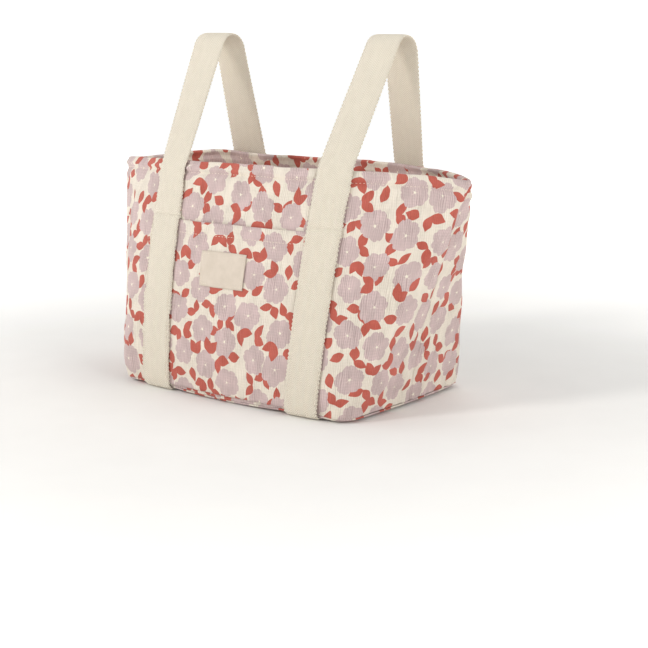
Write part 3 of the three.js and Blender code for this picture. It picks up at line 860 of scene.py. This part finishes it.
def cast_metal(name):
    g = Graph(name, roughness=0.33, metallic=1.0)
    wear = g.noise(g.place(), 0.35, 4.0, 0.65)
    g.colour(g.mix(g.ramp(wear, 0.35, 0.7), rgb(196, 168, 122), rgb(218, 196, 156)))
    g.put(g.shader.inputs["Roughness"], g.add(0.26, g.times(wear, 0.2)))
    g.bump(wear, 0.15, 0.0003)
    return g.material


def moulded(name, colour):
    g = Graph(name, roughness=0.45)
    grain = g.noise(g.place(), 1.8, 2.0)
    g.colour(g.mix(g.ramp(grain, 0.3, 0.7), toned(colour, 0.86, 0.85, 0.82), colour))
    g.bump(grain, 0.2, 0.0003)
    return g.material


MATERIALS = {
    "printed_cotton": gauze("printed_gauze"),
    "lining_cotton": plain_weave("lining_weave", rgb(222, 211, 191), rgb(236, 227, 210), 0.7),
    "wadding": fuzzy("wadding_fibre", rgb(240, 238, 232), 0.5, 0.8),
    "board": plain_weave("board_grain", rgb(206, 200, 186), rgb(216, 210, 197), 1.2, 0.3, False),
    "cotton_webbing": webbing("webbing_twill"),
    "label_cotton": plain_weave("label_weave", rgb(215, 202, 186), rgb(223, 210, 195), 0.55, 0.5),
    "loop_pile": fuzzy("loop_pile_fuzz", rgb(232, 222, 204), 1.6, 0.9),
    "hook_tape": fuzzy("hook_tape_hooks", rgb(226, 215, 195), 2.4, 1.0),
    "zip_tape": plain_weave("zip_tape_weave", rgb(222, 211, 190), rgb(235, 226, 208), 0.6, 0.6),
    "zip_teeth": moulded("zip_coil_nylon", rgb(232, 222, 202)),
    "zip_metal": cast_metal("pale_brass"),
    "thread": plain_weave("sewing_thread", rgb(226, 214, 194), rgb(240, 231, 214), 0.5, 0.3, False),
}


def finish(piece, slot, body="bag", nodes=(), material=None):
    """Gives a piece the material of its slot, and puts it on its body."""
    piece.data.materials.append(MATERIALS[material or slot])
    if body:
        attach(piece, body)
    if nodes:
        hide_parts(*nodes)
    return piece


def wall_span(rows, low, high):
    """Rows of a layer that lies between two insets."""
    return [(v, (0, low), (0, high)) for v in rows]


# ---- padded walls ----
# Columns and rows of the walls' layers, closest together where the cloth turns.
SEAM = 1 - GAP / 2 / HALF_CLOTH
ACROSS = np.linspace(-SEAM, SEAM, 235)
UP = np.r_[np.linspace(0.006, 0.06, 8), np.linspace(0.072, 0.9, 70), np.linspace(0.906, 1, 20)]
FACING_PRINT = (211, 57)  # how far the facing's cloth coordinates are moved
# Rows of the rolled rim, on the outer panel and on the facing: lift and inset of the face that is
# seen, then of the hidden one.
PANEL_ROLL = (
    ((0.9, 0.35), (0.1, 1.55)),
    ((1.5, 1.0), (0.3, 1.8)),
    ((1.75, 1.9), (0.4, 2.2)),
    ((1.7, 2.55), (0.4, 2.55)),
)
FACING_ROLL = (
    ((0.9, 4.85), (0.1, 3.6)),
    ((1.5, 4.2), (0.3, 3.4)),
    ((1.75, 3.4), (0.4, 3.0)),
    ((1.7, 2.75), (0.4, 2.75)),
)


def sag(t):
    """The bottom edge hangs a little between the straps and at the corners."""
    u = np.abs(t) * HALF_CLOTH
    return -1.9 * np.clip(1 - (u / HALF_SPAN) ** 2, 0, 1) - 1.2 * bell(u - 122, 16)


def snug(u, h):
    """How far the outer cloth is drawn up against the front of the straps, where no pocket lies
    between them."""
    z = h + WALL_BOTTOM
    aside = np.min([np.abs(u - middle_at(1, name, z)) for name in STRAPS], axis=0)
    close = np.clip(1 - (aside - WEB_WIDTH / 2) / 13, 0, 1)
    close = close * close * (3 - 2 * close)
    beside = np.clip((np.abs(u) - POCKET_HALF - 0.5) / 3, 0, 1)
    above = np.clip((z - POCKET_TOP - 1) / 4, 0, 1)
    ends = np.clip(h / 12, 0, 1) * np.clip((RIM_CORNER_Z - z) / 12 + 0.9, 0.3, 1)
    return 1.4 * close * np.maximum(beside, above) * ends


for name, side in SIDES:
    drop = sag(ACROSS)
    rows = []
    for lift, inset in ((-0.1, 1.25), (0.1, 0.7), (0.5, 0.2)):
        rows.append((0.0, (lift + drop, inset), (lift + drop + 0.2, OUTER)))
    for v in UP:
        lift = drop * max(0, 1 - v / 0.12) ** 2
        rows.append((v, (lift, 0), (lift, OUTER)))
    rows += [(1.0, seen, hidden) for seen, hidden in PANEL_ROLL]
    extra = snug if side > 0 else None
    outer = wall_slab(f"outer_wall_{name}", side, ACROSS, rows, extra=extra)
    finish(outer, "printed_cotton", nodes=[f"outer_{name}_panel"])

    inside = wall_span(UP[::2][:-1], WADDING_INSET, WADDING_INSET + WADDING)
    pad = wall_slab(f"quilted_wadding_{name}", side, ACROSS[::2], inside)
    finish(pad, "wadding", nodes=[f"{name}_wadding"])

    low = [v for v in UP if v < FACING_V - 0.004]
    lined = wall_span(np.r_[0.0, low[::2]], LINING_INSET, LINING_INSET + LINING)
    lining = wall_slab(f"lining_{name}", side, ACROSS[::2], lined, follow=0.3)
    finish(lining, "lining_cotton", nodes=[f"{name}_lining"])

    high = np.r_[FACING_V, FACING_V + 0.006, UP[UP > FACING_V + 0.008]]
    rows = wall_span(high, LINING_INSET, LINING_INSET + LINING)
    rows += [(1.0, hidden, seen) for seen, hidden in FACING_ROLL]
    share = [0.25 + 0.75 * float(np.clip((row[0] - 0.955) / 0.04, 0, 1)) for row in rows]

    def groove(u, h):
        down = rim_height(side, u / HALF_CLOTH) - WALL_BOTTOM - h
        return 0.45 * bell(down - HEM, 1.4)

    shift = (FACING_PRINT[0], side * FACING_PRINT[1])
    facing = wall_slab(f"facing_{name}", side, ACROSS, rows, shift, share, groove)
    finish(facing, "printed_cotton", nodes=[f"{name}_facing"])


# ---- base ----
BASE_PRINT = 700  # how far the base's cloth coordinates are moved
BASE_EDGE = ((5, 2.35), (3, 2.2), (1.6, 2.35), (0.8, 2.75), (0.55, 3.2), (0.9, 3.7))
BASE_TOP = 4.15
FLOOR_EDGE = ((6.6, 7.4, 8.6), (6.1, 8.0, 9.3), (5.85, 9.6, 10.2))


def base_ring(inset, shrink=1.0):
    """The base's whole outline, counter-clockwise from above, before the body's twist."""
    p = spaced(base_outline(inset), 161) * shrink
    return np.vstack([p[:-1], -p[:-1]])


def ring_solid(name, rings, heights):
    """A closed solid from rings: out from the middle underneath, then back to it on top."""
    n = len(rings[0])
    vertices = [(0, 0, heights[0].mean())]
    flat = [(0.0, 0.0)]
    for ring, z in zip(rings, heights):
        x, y = turn(ring[:, 0], ring[:, 1], 0)
        vertices.extend(np.c_[x, y, z].tolist())
        flat.extend(ring.tolist())
    last = len(vertices)
    vertices.append((0, 0, heights[-1].mean()))
    flat.append((0.0, 0.0))
    faces = [(0, 1 + (j + 1) % n, 1 + j) for j in range(n)]
    faces += ring_faces(len(rings), n, 1)
    top = last - n
    faces += [(top + j, top + (j + 1) % n, last) for j in range(n)]
    return build(name, vertices, faces, np.array(flat) + BASE_PRINT)


def hanging(ring):
    """How far the base hangs between the straps, before the twist."""
    x = np.abs(ring[:, 0])
    return 1.7 * np.clip(1 - (x / HALF_SPAN) ** 2, 0, 1) + 0.8 * bell(x - 118, 12)


SHRINKS = np.linspace(0.06, 0.97, 26)
rings = [base_ring(8, s) for s in SHRINKS]
under = []
for ring in rings:
    dents = 0.35 * noise(ring[:, 0] / 21, ring[:, 1] / 21, 71)
    under.append(np.maximum(BASE_BOTTOM - hanging(ring) + dents, 0.35))
for inset, z in BASE_EDGE:
    ring = base_ring(inset)
    rings.append(ring)
    under.append(np.maximum(z - hanging(ring), 0.4 + (z - 2.2)))
tops = rings[::-1][1:]
over = [np.maximum(BASE_TOP - hanging(ring), 1.8) for ring in tops]
base = ring_solid("base_panel", rings + tops, under + over)
finish(base, "printed_cotton", nodes=["outer_base_panel"])

floor_rings = [base_ring(INNER_INSET + 1.2, s) for s in SHRINKS]
low = [np.full(len(ring), 7.2) for ring in floor_rings]
high = [8.3 + 0.35 * noise(ring[:, 0] / 27, ring[:, 1] / 27, 73) for ring in floor_rings]
for inset, z_low, z_high in FLOOR_EDGE:
    ring = base_ring(inset)
    floor_rings.append(ring)
    low.append(np.full(len(ring), z_low))
    high.append(np.full(len(ring), z_high))
floor_lining = ring_solid("floor_lining", floor_rings + floor_rings[::-1], low + high[::-1])
finish(floor_lining, "lining_cotton", nodes=["base_lining"])


# ---- patch pocket, label and inside pocket ----
POCKET_PRINT = (37, 13)  # how far the pocket's cloth coordinates are moved
SLIP_HALF = 78
SLIP_BOTTOM = 14
SLIP_TOP = 122


def pocket_lift(u, h):
    """How far the patch pocket stands off the wall, most at its mouth and nothing at its sides."""
    left, right = POCKET_FREE
    free = np.clip(np.minimum(u - left, right - u) / 26, 0, 1)
    free = free * free * (3 - 2 * free)
    mouth = np.clip((h - 70) / 77, 0, 1) ** 1.7
    wave = 0.55 * noise(u / 23 + 5, h / 60, 81) + 0.3 * noise(u / 9, h / 50, 82)
    edge = POCKET_TOP - WALL_BOTTOM - h
    hem = 0.3 * bell(edge - POCKET_HEM / 2, 3.5) - 0.25 * bell(edge - POCKET_HEM, 1.2)
    return free * (mouth * (1.3 + 0.7 * wave) + 0.35 * (wave + 0.6)) * 0.8 + 0.3 * free + hem * free


cols = columns(-POCKET_HALF, POCKET_HALF, 1.8)
rows = flat_rows(1, cols, WALL_BOTTOM + 2, POCKET_TOP, POCKET_INSET, POCKET, 84)
patch = wall_slab("patch_pocket", 1, cols, rows, POCKET_PRINT, extra=pocket_lift)
finish(patch, "printed_cotton", nodes=["front_patch_pocket"])

half_w = LABEL_SIZE[0] / 2
half_h = LABEL_SIZE[1] / 2


def label_lift(u, h):
    """The label lies on the pocket, and stands off a little more between its corners."""
    s = (u - LABEL_X) / half_w
    r = (h + WALL_BOTTOM - LABEL_Z) / half_h
    loose = np.clip(1.5 - np.abs(s), 0, 0.5) * (1 - bell(1 - np.abs(r), 0.18))
    return pocket_lift(u, h) + 0.4 * loose * (1 + noise(u / 9, h / 9, 91)) + 0.12


cols = columns(LABEL_X - half_w, LABEL_X + half_w, 1.2)
rows = flat_rows(1, cols, LABEL_Z - half_h, LABEL_Z + half_h, LABEL_INSET, LABEL, 26)
tag = wall_slab("blank_label", 1, cols, rows, extra=label_lift)
finish(tag, "label_cotton", nodes=["label_patch"])

cols = columns(-SLIP_HALF, SLIP_HALF, 2.4)
rows = flat_rows(-1, cols, SLIP_BOTTOM, SLIP_TOP, INNER_INSET + FACET, LINING, 48)
slip = wall_slab("slip_pocket", -1, cols, rows, follow=0.3)
finish(slip, "lining_cotton", nodes=["inner_slip_pocket"])


# ---- straps ----
CROSS = np.linspace(0, 1, 13)
BEND = 5
LOWEST = HALF_WEB + 0.05
RISE_FROM = 8.5
ROW = 1.6
BACK_RUN = 150  # how far the straps run on under the base
FRONT_RUN = 22
FLEX = (0.008, 0.014)  # metres of strap before and behind the joint


def sewn_rows(name, side, inset, top, reach):
    """Rows of a strap from under the base, round its edge and up the wall to a height."""
    lines = []
    for across in CROSS:
        t = side * strap_x(STRAPS[name][0], across) / HALF_CLOTH
        px, py = plain(side, t, 0, inset)
        line = []
        for d in np.linspace(reach, BEND, max(4, round((reach - BEND) / 3))):
            line.append((*turn(px, py + side * d, 0), LOWEST))
        for a in np.linspace(0, math.pi / 2, 7)[1:]:
            d = BEND * (1 - math.sin(a))
            z = LOWEST + BEND * (1 - math.cos(a))
            line.append((*turn(px, py + side * d, 0), z))
        z = np.linspace(RISE_FROM, top, round((top - RISE_FROM) / ROW))
        up = side * strap_x(middle_at(side, name, z), across) / HALF_CLOTH
        v = rise(side, up, z)
        d = wrinkles(side, up, v) - (TACK_DEPTH * bell(z - TACK_TOP, 1.5) if side > 0 else 0)
        p = wall(side, up, v, inset) + outward(side, up, v, inset) * d[:, None]
        line += p.tolist()
        lines.append(line)
    grid = np.array(lines).transpose(1, 0, 2)
    return soften(grid, [len(grid) - len(z) - 1], 2, 5)


for name in STRAPS:
    back = sewn_rows(name, -1, BACK_BAND + HALF_WEB, SEWN_BACK_TOP, BACK_RUN)
    sewn = band(f"strap_{name}_sewn", back)
    finish(sewn, "cotton_webbing", nodes=[f"strap_{name}_back", f"strap_{name}_base"])

    front_top = RIM_CORNER_Z + CREST[1] - 1
    front = sewn_rows(name, 1, FRONT_BAND + HALF_WEB, front_top, FRONT_RUN)
    loop = np.array([loop_line(name, a) for a in CROSS]).transpose(1, 0, 2)
    kinks = [len(front), len(front) + UP_TO_BAR + ROUND_BAR + DOWN_TO_RIM]
    grid = soften(np.concatenate([front, loop]), kinks, 3, 8)
    carry = band(f"strap_{name}_carry", grid)
    finish(carry, "cotton_webbing", body=None)
    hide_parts(f"strap_{name}_front", f"strap_{name}_loop")
    # The ends of a short stretch at the root of its free part are found about its joint.
    joint = next(j for j in frame["joints"] if j["child"] == f"{name}_loop")
    root = np.array(joint["pos_m"])
    way = np.array([0, 0.8, 0.6])
    start, end = root - FLEX[0] * way, root + FLEX[1] * way
    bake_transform(carry)

    cols = strap_columns(-1, STRAPS[name][1], PAD_WIDTH, 15)
    rows = flat_rows(-1, cols, PAD_BOTTOM, PAD_TOP, LOOP_PAD, PAD, 34)
    pile = wall_slab(f"loop_pile_{name}", -1, cols, rows)
    finish(pile, "loop_pile", nodes=[f"fastener_loop_pad_{name}"])
    rows = flat_rows(-1, cols, PAD_BOTTOM + 2, PAD_TOP - 2, HOOK_PAD, PAD, 34)
    hooks = wall_slab(f"hook_tape_{name}", -1, cols, rows, follow=0)
    finish(hooks, "hook_tape", f"{name}_loop", [f"fastener_hook_pad_{name}"])


# ---- stitching ----
def strap_line(name, side, across, z, inset):
    """A line up a sewn strap at a part of its width."""
    return wall_line(side, strap_x(middle_at(side, name, z), across), z, inset)


def cross_line(name, z, inset):
    """A line across a front strap."""
    centre = middle_at(1, name, z)
    reach = WEB_WIDTH / 2 - 3
    return wall_line(1, np.linspace(centre - reach, centre + reach, 16), z, inset)


# How far lines of stitches lie from the edges that they follow, and how far they reach.
STRAP_MARGIN = 2.2
LABEL_MARGIN = 2.2
TAIL_MARGIN = 3.5
TAIL_HALF = 12.5
CORNER_STITCHES = 6.5
HEM_REACH = HALF_CLOTH - 3
u = np.linspace(-HEM_REACH, HEM_REACH, 400)
hems = []
for side in (1, -1):
    z = rim_height(side, u / HALF_CLOTH) - HEM
    hems.append(wall_line(side, u, z, -0.05, snug if side > 0 else None))
hem_stitches = stitches("hem_stitches", hems)
finish(hem_stitches, "cotton_webbing", material="thread")

rows = []
for name in STRAPS:
    for side, inset, top in ((1, FRONT_BAND, TACK_TOP), (-1, BACK_BAND, PAD_BOTTOM - 4)):
        z = np.linspace(12, top, 80)
        for across in (STRAP_MARGIN / WEB_WIDTH, 1 - STRAP_MARGIN / WEB_WIDTH):
            rows.append(strap_line(name, side, across, z, inset - 0.02))
    rows.append(cross_line(name, TACK_TOP, FRONT_BAND + TACK_DEPTH - 0.1))
strap_stitches = stitches("strap_stitches", rows, 3.0, 2.2, 0.2)
finish(strap_stitches, "cotton_webbing", material="thread")

free = np.linspace(POCKET_FREE[0] + 2, POCKET_FREE[1] - 2, 120)
mouth = wall_line(1, free, POCKET_TOP - POCKET_HEM, POCKET_INSET - 0.05, pocket_lift)
pocket_stitches = stitches("pocket_stitches", [mouth])
finish(pocket_stitches, "cotton_webbing", material="thread")

rows = []
for sx in (-1, 1):
    for sz in (-1, 1):
        x = LABEL_X + sx * (half_w - LABEL_MARGIN)
        z = LABEL_Z + sz * (half_h - LABEL_MARGIN)
        for dx, dz in ((CORNER_STITCHES, 0), (0, CORNER_STITCHES)):
            u = np.linspace(x, x - sx * dx, 12)
            h = np.linspace(z, z - sz * dz, 12)
            rows.append(wall_line(1, u, h, LABEL_INSET - 0.02, label_lift))
label_stitches = stitches("label_stitches", rows, 2.1, 1.7, 0.2)
finish(label_stitches, "label_cotton", material="thread")

for name in STRAPS:
    # An oblong of stitches holds the hook pad to the strap's free end.
    centre = STRAPS[name][1]
    wide = np.linspace(centre - TAIL_HALF, centre + TAIL_HALF, 14)
    tall = np.linspace(PAD_BOTTOM + TAIL_MARGIN, PAD_TOP - TAIL_MARGIN, 30)
    oblong = [(wide, np.full(len(wide), z)) for z in (tall[0], tall[-1])]
    oblong += [(np.full(len(tall), u), tall) for u in (wide[0], wide[-1])]
    rows = []
    for u, z in oblong:
        t = -u / HALF_CLOTH
        v = rise(-1, t, z)
        rows.append((wall(-1, t, v, FREE_END), outward(-1, t, v, FREE_END)))
    tail = stitches(f"tail_stitches_{name}", rows, 3.0, 2.2, 0.24)
    finish(tail, "cotton_webbing", f"{name}_loop", material="thread")


# ---- zip ----
ZIP_PRINT = (611, 317)  # how far the closing cloth's coordinates are moved
ZIP_HALF = 118.2
HINGE = 38
HINGE_REACH = 0.0035  # metres of the cloth to each side of the hinge
FOLD = 14.6  # where the closing cloth is folded back along the tape
CLOTH = 1.2
TAPE = (3.3, 14.3)
TEETH = (0.9, 3.0)
FORK_HALF = 5.8
FORK_X = 127


def facing_y(side, x):
    """How far out the facing is at the zip's height."""
    t = np.linspace(-SEAM, SEAM, 400)
    p = wall(side, t, rise(side, t, ZIP_Z), INNER_INSET + 0.2)
    order = np.argsort(p[:, 0])
    return np.interp(x, p[order, 0], p[order, 1])


def masked_slab(name, top, under, uv, cells):
    """A closed slab of the cells of a grid that are marked, with the others left open."""
    rows, cols = top.shape[:2]
    n = rows * cols
    faces = []
    count = {}
    for i in range(rows - 1):
        for j in range(cols - 1):
            if cells[i, j]:
                a = i * cols + j
                loop = (a, a + 1, a + cols + 1, a + cols)
                faces.append(loop)
                faces.append(tuple(q + n for q in loop[::-1]))
                for k in range(4):
                    edge = (loop[k], loop[(k + 1) % 4])
                    count[edge] = count.get(edge, 0) + 1
    for p, q in count:
        if (q, p) not in count:
            faces.append((q, p, p + n, q + n))
    used = sorted({q for face in faces for q in face})
    new = {q: k for k, q in enumerate(used)}
    faces = [tuple(new[q] for q in face) for face in faces]
    vertices = np.vstack([top.reshape(-1, 3), under.reshape(-1, 3)])[used]
    flat = np.vstack([uv.reshape(-1, 2)] * 2)[used]
    return build(name, vertices, faces, flat)


def flat_layer(name, xs, ys, top, under, flip, shift=(0, 0), cells=None):
    """A slab over a grid of x and y, between two heights. flip is the grid's axis that has to be
    turned round for it to face up, if any. Its cloth coordinates are x and y, moved by shift, and
    cells marks the grid's cells that it has, where it hasn't all of them."""
    if cells is None:
        cells = np.ones((xs.shape[0] - 1, xs.shape[1] - 1), bool)
    grids = [np.stack([xs, ys, z], axis=2) for z in (top, under)]
    grids += [np.stack([xs + shift[0], ys + shift[1]], axis=2), cells]
    if flip is not None:
        grids = [np.flip(grid, flip) for grid in grids]
    return masked_slab(name, *grids)


def closing_height(x, y):
    """The closing cloth lies almost flat, with shallow creases across and along it."""
    reach = np.clip((np.abs(y) - FOLD) / 8, 0, 1)
    creases = 0.55 * noise(x / 17, y / 26, 61) + 0.35 * noise(x / 8, y / 31, 62)
    return ZIP_Z + reach * creases


x = np.linspace(-ZIP_HALF, ZIP_HALF, 140)
for name, side in SIDES:
    far = facing_y(side, x)
    near = -side * FOLD
    s = np.r_[0, 0.02, 0.05, np.linspace(0.1, 0.93, 22), 0.96, 0.985, 1.0]
    y = far[None, :] + (near - far)[None, :] * s[:, None]
    xs = np.broadcast_to(x, y.shape)
    z = closing_height(xs, y)
    # The outer edge turns down along the facing, and the inner edge is folded over.
    z = z - 2.6 * np.clip(1 - np.abs(y - far) / 2.5, 0, 1) ** 2
    half = CLOTH / 2 * np.sqrt(np.clip(1 - np.clip((s - 0.955) / 0.05, 0, 1) ** 4, 0.08, 1))
    crease = -0.3 * bell(np.abs(y) - HINGE, 1.0) - 0.22 * bell(np.abs(y) - FOLD - 2.2, 0.8)
    top = z + half[:, None] + crease
    under = z - half[:, None]
    flip = 0 if side < 0 else None
    cloth = flat_layer(f"closing_cloth_{name}", xs, y, top, under, flip, ZIP_PRINT)
    finish(cloth, "printed_cotton", body=None)
    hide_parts(f"zip_border_{name}", f"zip_flap_{name}")
    fold_y = -side * HINGE * MM
    start = (0, fold_y - side * HINGE_REACH, ZIP_Z * MM)
    end = (0, fold_y + side * HINGE_REACH, ZIP_Z * MM)
    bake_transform(cloth)

    # Woven tape with a raised cord beside the teeth.
    across = np.linspace(0, 1, 13)
    y = -side * (TAPE[0] + (TAPE[1] - TAPE[0]) * across)
    thick = 0.42 + 0.3 * bell(across - 0.14, 0.09) - 0.1 * bell(across - 0.85, 0.03)
    thick = thick * np.where((across < 0.01) | (across > 0.99), 0.5, 1)
    xs, ys, thick = np.broadcast_arrays(x, y[:, None], thick[:, None])
    flip = 0 if side > 0 else None
    tape = flat_layer(f"woven_tape_{name}", xs, ys, ZIP_Z + thick, ZIP_Z - thick, flip)
    finish(tape, "zip_tape", f"zip_{name}_half", [f"zip_tape_{name}"])

    edge = np.linspace(-ZIP_HALF + 1, ZIP_HALF - 1, 200)
    line = np.tile([0, -side * (FOLD + 2.2), ZIP_Z + CLOTH / 2 - 0.1], (200, 1))
    line[:, 0] = edge
    up = np.tile([0.0, 0.0, 1.0], (200, 1))
    seam = stitches(f"zip_stitches_{name}", [(line, up)], 2.8, 2.1, 0.22)
    finish(seam, "zip_tape", f"zip_{name}_half", material="thread")


def coil(name, side):
    """A row of coil teeth: one wire wound in flattened turns."""
    pitch = 1.5
    wire = 0.42
    sides = 6
    steps = 12
    middle = (TEETH[0] + TEETH[1]) / 2
    turns = int(2 * ZIP_HALF / pitch) - 1
    a = np.linspace(0, turns * 2 * math.pi, turns * steps + 1)
    along = -turns * pitch / 2 + a / (2 * math.pi) * pitch
    y = -side * (middle - (TEETH[1] - TEETH[0] - 2 * wire) / 2 * np.cos(a))
    z = ZIP_Z + (1.28 - wire) * np.sin(a)
    path = np.c_[along, y, z]
    way = np.gradient(path, axis=0)
    way /= np.linalg.norm(way, axis=1, keepdims=True)
    side_way = np.cross(way, [1.0, 0, 0])
    side_way /= np.linalg.norm(side_way, axis=1, keepdims=True)
    other = np.cross(way, side_way)
    ring = np.linspace(0, 2 * math.pi, sides, endpoint=False)
    tube = (
        path[:, None, :]
        + wire * np.cos(ring)[None, :, None] * side_way[:, None, :]
        + wire * np.sin(ring)[None, :, None] * other[:, None, :]
    )
    last = (len(path) - 1) * sides
    faces = ring_faces(len(path), sides)
    faces.append(tuple(range(sides))[::-1])
    faces.append(tuple(range(last, last + sides)))
    return build(name, tube.reshape(-1, 3), faces)


for name, side in SIDES:
    teeth = coil(f"coil_teeth_{name}", side)
    finish(teeth, "zip_teeth", f"zip_{name}_half", [f"zip_teeth_{name}"])

# At each end of the zip a piece of cloth bridges the two halves, with a notch for the slider.
for name, hand in (("right", 1), ("left", -1)):
    reach = np.r_[119.1, 119.6, np.arange(121, FORK_X - 0.5, 2), FORK_X, np.arange(129, 154, 2.2)]
    low, high = facing_y(1, hand * reach), facing_y(-1, hand * reach)
    share = np.linspace(0, 1, 14)
    wide = np.array([-FORK_HALF + (low + FORK_HALF) * q for q in share[::-1] ** 0.9])
    other = np.array([FORK_HALF + (high - FORK_HALF) * q for q in share**0.9])
    inner = np.array([np.full(len(reach), q) for q in (-3.0, 0.0, 3.0)])
    ys = np.vstack([wide, inner, other])
    xs = np.broadcast_to(hand * reach, ys.shape)
    edge = np.minimum(ys - low, high - ys)
    z = closing_height(xs, ys) - 2.2 * np.clip(1 - edge / 2.5, 0, 1) ** 2
    cells = np.ones((len(ys) - 1, len(reach) - 1), bool)
    cells[13:17, : np.count_nonzero(reach[:-1] < FORK_X - 0.1)] = False
    top = z + CLOTH / 2
    under = z - CLOTH / 2
    flip = 1 if hand < 0 else None
    end = flat_layer(f"zip_end_{name}", xs, ys, top, under, flip, ZIP_PRINT, cells)
    finish(end, "printed_cotton", nodes=[f"zip_end_tab_{name}"])

for node, slot in (("base_board", "board"), ("zip_slider", "zip_metal"), ("zip_pull", "zip_metal")):
    part = frame["nodes"][node]
    part.data.materials.clear()
    part.data.materials.append(MATERIALS[slot])
    if slot == "zip_metal":
        bevel = part.modifiers.new("rounded_edges", "BEVEL")
        bevel.width = 0.0003
        bevel.segments = 3
        bevel.limit_method = "ANGLE"


# ---- floor, light and camera ----
FLOOR_RADIUS = 6.0  # metres, as all of the stage
WALL_CURVE = 2.0
WALL_TOP = 2.4
SEGMENTS = 96
GLOW_FROM = 150  # millimetres from the bag's middle
GLOW_TO = 1000


def stage_bowl():
    """A round floor that curves up into a low wall all round, far from the bag."""
    profile = [(1.5, 0.0), (3.0, 0.0), (FLOOR_RADIUS, 0.0)]
    for a in np.linspace(0.1, 1.4, 12):
        profile.append((FLOOR_RADIUS + WALL_CURVE * math.sin(a), WALL_CURVE * (1 - math.cos(a))))
    profile.append((FLOOR_RADIUS + WALL_CURVE + 0.1, WALL_TOP))
    turns = np.linspace(0, 2 * math.pi, SEGMENTS, endpoint=False)
    # The floor lies a hair below the bag's lowest point.
    vertices = [(0, 0, -0.3)]
    for radius, height in profile:
        ring = np.c_[radius * np.cos(turns), radius * np.sin(turns), np.full(SEGMENTS, height)]
        vertices += (ring / MM - (0, 0, 0.3)).tolist()
    faces = [(0, 1 + j, 1 + (j + 1) % SEGMENTS) for j in range(SEGMENTS)]
    faces += ring_faces(len(profile), SEGMENTS, 1, turned=True)
    return build("backdrop", vertices, faces)


def area_light(name, place, target, size, power, colour):
    data = bpy.data.lights.new(name, "AREA")
    data.shape = "RECTANGLE"
    data.size, data.size_y = size
    data.energy = power
    data.color = colour
    lamp = bpy.data.objects.new(name, data)
    lamp.location = place
    lamp.rotation_euler = (Vector(target) - Vector(place)).to_track_quat("-Z", "Y").to_euler()
    bpy.context.scene.collection.objects.link(lamp)


CAMERA = (0.7283, -1.0721, 0.3308)
LENS = 82.26
YAW = math.radians(32.8)
PITCH = math.radians(12.1)
ROLL = math.radians(0.2)
MIDDLE = (0, 0, 0.12)

backdrop = stage_bowl()
paper = Graph("backdrop_paper", roughness=0.95)
fibre = paper.noise(paper.place(), 0.02, 3.0)
paper.colour(paper.mix(fibre, rgb(243, 242, 239), rgb(248, 247, 244)))
# The far floor and the wall glow a little, so that they look as pale as the floor near the lamps.
x, y, _ = paper.split(paper.place())
glow = paper.ramp(length(paper, x, y), GLOW_FROM, GLOW_TO)
paper.put(paper.shader.inputs["Emission Color"], (1.0, 1.0, 1.0, 1.0))
paper.put(paper.shader.inputs["Emission Strength"], paper.times(glow, 0.6))
backdrop.data.materials.append(paper.material)

area_light("key", (-1.0, -1.7, 1.3), MIDDLE, (0.45, 0.45), 18, (1.0, 0.98, 0.95))
area_light("side", (1.9, -0.3, 0.9), MIDDLE, (1.2, 1.2), 13, (1.0, 0.985, 0.96))
area_light("fill", (-1.7, -0.8, 0.8), MIDDLE, (1.4, 1.2), 6.7, (0.98, 0.99, 1.0))
area_light("top", (0.1, 0.5, 1.8), (0, 0, 0.15), (1.4, 1.0), 10, (1.0, 0.99, 0.97))

bpy.context.scene.view_settings.view_transform = "Standard"
world = bpy.data.worlds.new("studio")
bpy.context.scene.world = world
world.use_nodes = True
sky = world.node_tree.nodes["Background"]
sky.inputs["Color"].default_value = (0.94, 0.95, 0.97, 1)
sky.inputs["Strength"].default_value = 0.33

camera_data = bpy.data.cameras.new("camera")
camera_data.lens = LENS
camera_data.sensor_width = 36
camera = bpy.data.objects.new("camera", camera_data)
bpy.context.scene.collection.objects.link(camera)
level = math.cos(PITCH)
ahead = Vector((-math.sin(YAW) * level, math.cos(YAW) * level, -math.sin(PITCH)))
right = ahead.cross(Vector((0, 0, 1))).normalized()
up = right.cross(ahead)
tilt = Matrix.Rotation(ROLL, 3, ahead)
right, up = tilt @ right, tilt @ up
facing_matrix = Matrix((right, up, -ahead)).transposed()
camera.matrix_world = Matrix.Translation(CAMERA) @ facing_matrix.to_4x4()
bpy.context.scene.camera = camera
